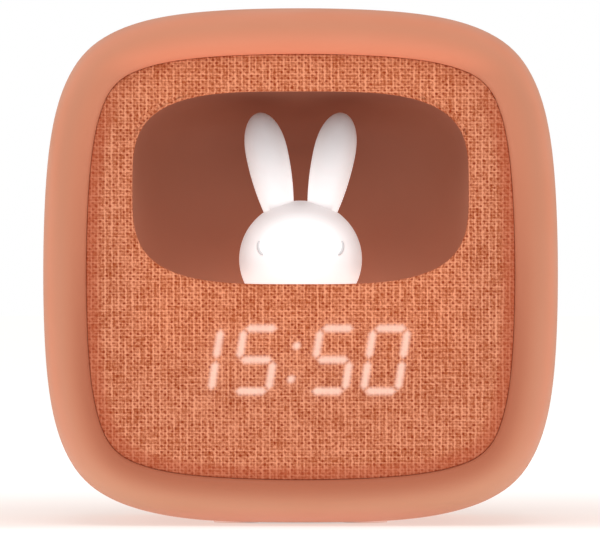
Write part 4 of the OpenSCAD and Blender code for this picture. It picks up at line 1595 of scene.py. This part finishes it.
@dataclass
class RabbitLamp:
    """Hollow glowing lamp in the shape of a rabbit, with closed eyelids."""

    form: ClockForm = FORM
    niche: Niche = field(default_factory=Niche)
    head_w: float = 32.5
    head_h: float = 31.0
    head_up: float = 1.8
    back: float = 17.4
    ear_radius: float = 5.55
    ear_length: float = 34.0
    ear_peak: float = 11.6
    ear_fall: float = 27.8
    ear_round: float = 2.3
    ear_lean: float = 12.0
    ear_x: float = 11.2
    ear_up: float = 38.7
    neck_radius: float = 7.6
    neck_drop: float = 5.8
    lid_x: float = 8.3
    lid_z: float = 73.7
    lid_radius: float = 2.8
    lid_start: float = 148.0
    lid_turn: float = 92.0
    lid_sunk: float = 0.18
    rim_w: float = 16.25
    rim_h: float = 17.5
    rim_drop: float = 2.0

    @property
    def axis_y(self) -> float:
        """Place of the lamp's axis along Y."""
        return self.form.panel_back + self.back

    @property
    def head_z(self) -> float:
        """Height of the head's middle."""
        return self.form.middle + self.head_up

    def head(self) -> BMesh:
        """Turns the head, cut flat on the floor, and its neck.

        Returns:
            The mesh, in metres.
        """
        floor = self.niche.floor - self.head_z
        a, b = self.head_w / 2, self.head_h / 2
        first = math.asin(floor / b)
        curve = [first + (math.pi / 2 - first) * i / 48 for i in range(49)]
        profile = [
            (0.0, floor - self.neck_drop),
            (self.neck_radius, floor - self.neck_drop),
            (self.neck_radius, floor + 0.02),
            *[(a * math.cos(t), b * math.sin(t)) for t in curve],
        ]
        profile[-1] = (0.0, b)
        bm = spun(profile, 128)
        bmesh.ops.translate(bm, vec=Vector((0, self.axis_y, self.head_z)) * MM, verts=bm.verts)
        return bm

    def ear_reach(self, along: float) -> float:
        """Radius of an ear at a distance from its tip.

        Args:
            along: Distance from the tip.

        Returns:
            The radius.
        """
        past = along - self.ear_peak
        if past < 0:
            return self.ear_radius * math.sqrt(max(0.0, 1 - (-past / self.ear_peak) ** self.ear_round))
        return self.ear_radius * (1 - (past / self.ear_fall) ** 2)

    def ear(self, side: int) -> BMesh:
        """Turns an ear and leans it to a side, -1 or 1.

        Args:
            side: The side.

        Returns:
            The mesh, in metres.
        """
        tip = [self.ear_peak * (1 - math.cos(math.pi / 2 * i / 20)) for i in range(21)]
        rest = [self.ear_peak + (self.ear_length - self.ear_peak) * i / 16 for i in range(1, 17)]
        profile = [(self.ear_reach(u), u) for u in tip + rest] + [(0.0, self.ear_length)]
        profile[0] = (0.0, 0.0)
        bm = spun(profile, 64)
        lean = Matrix.Rotation(math.radians(180 + side * self.ear_lean), 4, "Y")
        at = Matrix.Translation(Vector((side * self.ear_x, self.axis_y, self.head_z + self.ear_up)) * MM)
        bmesh.ops.transform(bm, matrix=at @ lean, verts=bm.verts)
        return bm

    def glow(self, at: Vector) -> float:
        """How strongly the lamp glows at a place: partly the fall of its own light, partly painted shade and
        painted highlight.

        Args:
            at: The place, in millimetres.

        Returns:
            The share of the lamp's full light.
        """
        top = self.head_z + self.head_h / 2
        reach = (at.x / (self.head_w / 2)) ** 2 + ((at.y - self.axis_y) / (self.head_w / 2)) ** 2
        reach += ((at.z - self.head_z) / (self.head_h / 2)) ** 2
        if reach > 1.02 and at.z > self.head_z + 4:
            # ears: dimmer towards the tips, partly the fall of the lamp's light and partly painted shade; a
            # painted highlight along their sides
            edge = self.ear_share(at) * ease(top + 26 - at.z, 0, 12)
            return 1.0 - 0.86 * ease(at.z, top - 6, top + 22) + 0.2 * edge**2
        # painted shade towards the head's sides
        side = 0.22 * ease(abs(at.x) * 2 / self.head_w, 0.7, 1.0)
        rim = (at.x / self.rim_w) ** 2 + ((at.z - self.head_z + self.rim_drop) / self.rim_h) ** 2
        # darker shoulders and crown: partly the fall of the lamp's light, partly painted shade
        shoulder = 0.24 * ease(rim, 0.45, 0.8) * ease(at.z - self.head_z, -1, 8)
        crown = 0.32 * ease(at.z, top - 9, top) + 0.12 * ease(at.z, top - 2, top - 0.5)
        # brighter low down: partly nearness to the light, partly painted light against the lip's shadow
        return 1.0 - side - shoulder - crown + 0.42 * ease(self.head_z - at.z, 0, 6)

    def ear_share(self, at: Vector) -> float:
        """How far off its ear's axis a place lies, 0 to 1.

        Args:
            at: The place, in millimetres.

        Returns:
            The share of the ear's radius.
        """
        side = 1 if at.x > 0 else -1
        lean = math.radians(side * self.ear_lean)
        x, z = at.x - side * self.ear_x, at.z - self.head_z - self.ear_up
        along = -x * math.sin(lean) - z * math.cos(lean)
        off = abs(z * math.sin(lean) - x * math.cos(lean))
        return held(off / max(0.5, self.ear_reach(max(0.0, along))))

    def on_head(self, x: float, z: float, proud: float) -> Vector:
        """Place on the head's front, a little proud of it, in metres.

        Args:
            x: Place across.
            z: Height.
            proud: How far it stands out.

        Returns:
            The place.
        """
        a, b = self.head_w / 2, self.head_h / 2
        deep = a * math.sqrt(max(0.0, 1 - (x / a) ** 2 - ((z - self.head_z) / b) ** 2))
        return Vector((x, self.axis_y - deep - proud, z)) * MM

    def eyelid(self, side: int) -> BMesh:
        """A fine raised line that follows the head, on a side, -1 or 1.

        Args:
            side: The side.

        Returns:
            The mesh, in metres.
        """
        steps, radius, sides = 16, 0.5, 8
        skin = RingSkin(sides)
        path = []
        for i in range(steps + 1):
            a = math.radians(self.lid_start + self.lid_turn * i / steps)
            x = side * (self.lid_x - self.lid_radius * math.cos(a))
            path.append((x, self.lid_z + self.lid_radius * math.sin(a)))
        for i, (x, z) in enumerate(path):
            (x0, z0), (x1, z1) = path[max(0, i - 1)], path[min(steps, i + 1)]
            length = math.hypot(x1 - x0, z1 - z0)
            across = Vector(((z1 - z0) / length, 0, -(x1 - x0) / length))
            thin = radius * math.sqrt(max(0.04, 1 - (2 * i / steps - 1) ** 4))
            middle = self.on_head(x, z, -self.lid_sunk)

            def place(turn: float) -> Vector:
                """Point of the line's round section."""
                a = 2 * math.pi * turn
                return middle + (across * math.cos(a) + Vector((0, math.sin(a), 0))) * thin * MM

            skin.ring(place)
        ends = [edge for edge in skin.bm.edges if edge.is_boundary]
        bmesh.ops.holes_fill(skin.bm, edges=ends, sides=sides)
        return skin.close()

    def build(self) -> list[Object]:
        """Builds the lamp and its eyelids.

        Returns:
            The lamp and the two lids.
        """
        whole = merged(self.head(), self.ear(-1), self.ear(1))
        lamp = set_in_place(
            whole, "lamp", LampGlow().make(), stands_for=["rabbit_lamp"]
        )
        paint(lamp, "glow", self.glow)
        line = LampGlow("eyelid_line", tone(206, 205, 206), tone(240, 240, 240), 0.17).make()
        lids = [
            set_in_place(self.eyelid(side), f"eyelid_{name}", line)
            for side, name in ((-1, "left"), (1, "right"))
        ]
        for lid in lids:
            paint(lid, "glow", lambda at: 1.0)
        return [lamp, *lids]


class Sign(Enum):
    """What each rear key is marked with, by its CAD body."""

    LIGHT = "key_light"
    CLOCK = "key_clock"
    ALARM = "key_alarm"
    PLUS = "key_plus"
    MINUS = "key_minus"


@dataclass
class KeySigns:
    """Raised plain signs on the five rear keys."""

    y0: float = 47.5
    y1: float = 48.02
    line: float = 0.42

    def shapes(self, sign: Sign) -> list[list[Pair]]:
        """Outlines of a sign, across and up from the key's middle.

        Args:
            sign: The sign.

        Returns:
            The outlines.
        """
        line = self.line
        if sign is Sign.LIGHT:
            return [disc(1.0), *[bar_outline(0.7, line, 45 * i, 1.6) for i in range(8)]]
        if sign is Sign.CLOCK:
            hands = [bar_outline(1.3, line, 90, -0.2), bar_outline(1.0, line, 0, -0.2)]
            return [disc(2.1, 40, 2.1 - line), *hands]
        if sign is Sign.ALARM:
            turns = [math.pi * i / 16 for i in range(17)]
            dome = [(1.25 * math.cos(a), 0.5 + 1.25 * math.sin(a)) for a in turns]
            bell = [(1.9, -1.15), (1.3, -0.4), *dome, (-1.3, -0.4), (-1.9, -1.15)]
            return [bell, [(x, z - 1.75) for x, z in disc(0.38, 16)]]
        plus = [bar_outline(3.6, line * 1.3, 0, -1.8)]
        return plus if sign is Sign.MINUS else [*plus, bar_outline(3.6, line * 1.3, 90, -1.8)]

    def build(self) -> list[Object]:
        """Builds the signs, each on the body of its key.

        Returns:
            The signs.
        """
        ink = Finish.INK.value.make()
        pieces = []
        for sign in Sign:
            low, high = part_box(sign.value)
            middle = (low + high) / 2 / MM
            at = (middle.x, middle.z)
            parts = [slab(shape, self.y0, self.y1, at) for shape in self.shapes(sign)]
            pieces.append(set_in_place(merged(*parts), f"sign_{sign.value}", ink, sign.value))
        return pieces


@dataclass
class Works:
    """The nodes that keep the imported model's shape, with the finish of each."""

    finishes: dict[Finish, tuple[str, ...]] = field(
        default_factory=lambda: {
            Finish.HOUSING: ("front_housing", "front_baffle"),
            Finish.COVER: ("rear_cover",),
            Finish.WHITE: ("display_reflector", "lamp_collar"),
            Finish.DARK: (
                "board_parts",
                "tact_switches",
                "power_switch",
                "speaker_frame",
                "speaker_gasket",
                "battery_holder",
                *[sign.value.replace("key", "plunger") for sign in Sign],
            ),
            Finish.KEY: (*[sign.value for sign in Sign], "power_slider"),
            Finish.BOARD: ("night_light_board", "display_board", "main_board", "key_board"),
            Finish.LED: ("night_light_leds", "display_leds"),
            Finish.FILM: ("display_film",),
            Finish.WRAP: ("battery_cell",),
            Finish.PAPER: ("speaker_cone",),
            Finish.RUBBER: ("foot_pads",),
            Finish.SCREW: ("board_screws", "speaker_magnet"),
            Finish.COVER_SCREW: ("cover_screws",),
            Finish.SOCKET: ("usb_socket",),
        }
    )

    def dress(self, nodes: dict[str, Object]) -> None:
        """Gives each node its finish.

        Args:
            nodes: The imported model's nodes by name.
        """
        for finish, names in self.finishes.items():
            material = finish.value.make()
            for name in names:
                node = nodes[name]
                if not node.material_slots:
                    node.data.materials.append(material)
                for place in node.material_slots:
                    place.material = material
                log.info("%s: %s", name, material.name)


@dataclass
class Studio:
    """Camera, floor, white surroundings and soft lamps."""

    distance: float = 3.0
    rise: float = 0.8
    aim: Triple = (-0.00015, -0.020, 0.06766)
    view_width: float = 0.1592
    sensor: float = 36.0
    middle: Triple = (0.0, 0.0, 0.068)
    level: float = 0.55
    floor_painted_shadow: Colour = (0.64, 0.55, 0.51, 1.0)
    far_floor: Colour = (0.78, 0.78, 0.76, 1.0)
    lamps: tuple[tuple[str, Triple, float, float], ...] = (
        ("lamp_above", (0.0, -0.64, 1.16), 0.8, 7.0),
        ("lamp_left", (-1.2, -0.05, 0.45), 0.9, 2.5),
        ("lamp_right", (1.2, -0.05, 0.45), 0.9, 2.1),
        ("lamp_floor", (0.0, 0.0, 0.0003), 0.9, 1.6),
    )

    def camera(self) -> Object:
        """Sets the camera in front of the clock.

        Returns:
            The camera.
        """
        data = bpy.data.cameras.new("camera")
        data.sensor_width = self.sensor
        data.lens = self.sensor * self.distance / self.view_width
        data.clip_start, data.clip_end = 0.05, 30.0
        camera = linked("camera", data)
        up = math.radians(self.rise)
        back = Vector((0.0, -math.cos(up), math.sin(up)))
        camera.location = Vector(self.aim) + back * self.distance
        camera.rotation_euler = (-back).to_track_quat("-Z", "Y").to_euler()
        bpy.context.scene.camera = camera
        return camera

    def floor(self) -> Object:
        """Lays the pale floor, whose glow to the eye is painted dimmer and warmer near the clock: a painted
        shadow with a painted warm bounce.

        Returns:
            The floor.
        """
        bm = bmesh.new()
        bmesh.ops.create_grid(bm, x_segments=8, y_segments=8, size=3.0)
        mesh = mesh_of(bm, "studio_floor")
        g = Graph("studio_floor")
        path = g.put("ShaderNodeLightPath", {})
        cloud = g.noise(3.0, 2.0)
        seen = path.outputs["Is Camera Ray"]
        pale = g.blend(cloud, (0.80, 0.80, 0.80, 1.0), (0.82, 0.82, 0.82, 1.0))
        reach = g.put("ShaderNodeVectorMath", {0: g.place}, operation="LENGTH").outputs["Value"]
        # painted shadow: near the clock the floor glows dimmer and warmer
        far = g.calc("MAXIMUM", g.spread(reach, 0.10, 0.34), g.spread(g.split(g.place)[1], -0.03, -0.10))
        g.dress(
            Base_Color=g.blend(seen, pale, (0.40, 0.40, 0.40, 1.0)),
            Roughness=0.9,
            Specular_IOR_Level=0.0,
            Emission_Color=g.blend(far, self.floor_painted_shadow, self.far_floor),
            Emission_Strength=seen,
        )
        mesh.materials.append(g.material)
        floor = linked("studio_floor", mesh)
        return floor

    def world(self) -> None:
        """Makes the surroundings white to the eye and plain to the object."""
        world = bpy.data.worlds.new("white_room")
        world.use_nodes = True
        tree = world.node_tree
        plain, white = tree.nodes["Background"], tree.nodes.new("ShaderNodeBackground")
        for shader, strength in ((plain, self.level), (white, 1.0)):
            shader.inputs[0].default_value = WHITE
            shader.inputs[1].default_value = strength
        path = tree.nodes.new("ShaderNodeLightPath")
        seen = path.outputs["Is Camera Ray"]
        for name in ("Is Glossy Ray", "Is Transmission Ray"):
            most = tree.nodes.new("ShaderNodeMath")
            most.operation = "MAXIMUM"
            tree.links.new(seen, most.inputs[0])
            tree.links.new(path.outputs[name], most.inputs[1])
            seen = most.outputs[0]
        mix = tree.nodes.new("ShaderNodeMixShader")
        for index, source in enumerate((seen, plain.outputs[0], white.outputs[0])):
            tree.links.new(source, mix.inputs[index])
        tree.links.new(mix.outputs[0], tree.nodes["World Output"].inputs[0])
        bpy.context.scene.world = world

    def lamp(self, name: str, at: Triple, size: float, watts: float) -> None:
        """Hangs a soft square lamp that faces the clock.

        Args:
            name: Its name.
            at: Its place.
            size: Its side, in metres.
            watts: Its power.
        """
        data = bpy.data.lights.new(name, "AREA")
        data.size, data.energy = size, watts
        lamp = linked(name, data)
        lamp.location = at
        lamp.rotation_euler = (Vector(self.middle) - Vector(at)).to_track_quat("-Z", "Y").to_euler()
        lamp.visible_camera = False

    def build(self) -> None:
        """Sets up the studio."""
        self.camera()
        self.floor()
        self.world()
        for lamp in self.lamps:
            self.lamp(*lamp)
        bpy.context.scene.view_settings.view_transform = "Standard"


def main() -> None:
    """Builds the clock in order."""
    logging.basicConfig(level=logging.INFO, format="%(message)s")
    Studio().build()
    Works().dress(frame["nodes"])
    Jacket().build()
    FrontCloth().build()
    Niche().build()
    RabbitLamp().build()
    KeySigns().build()


if __name__ == "__main__":
    main()
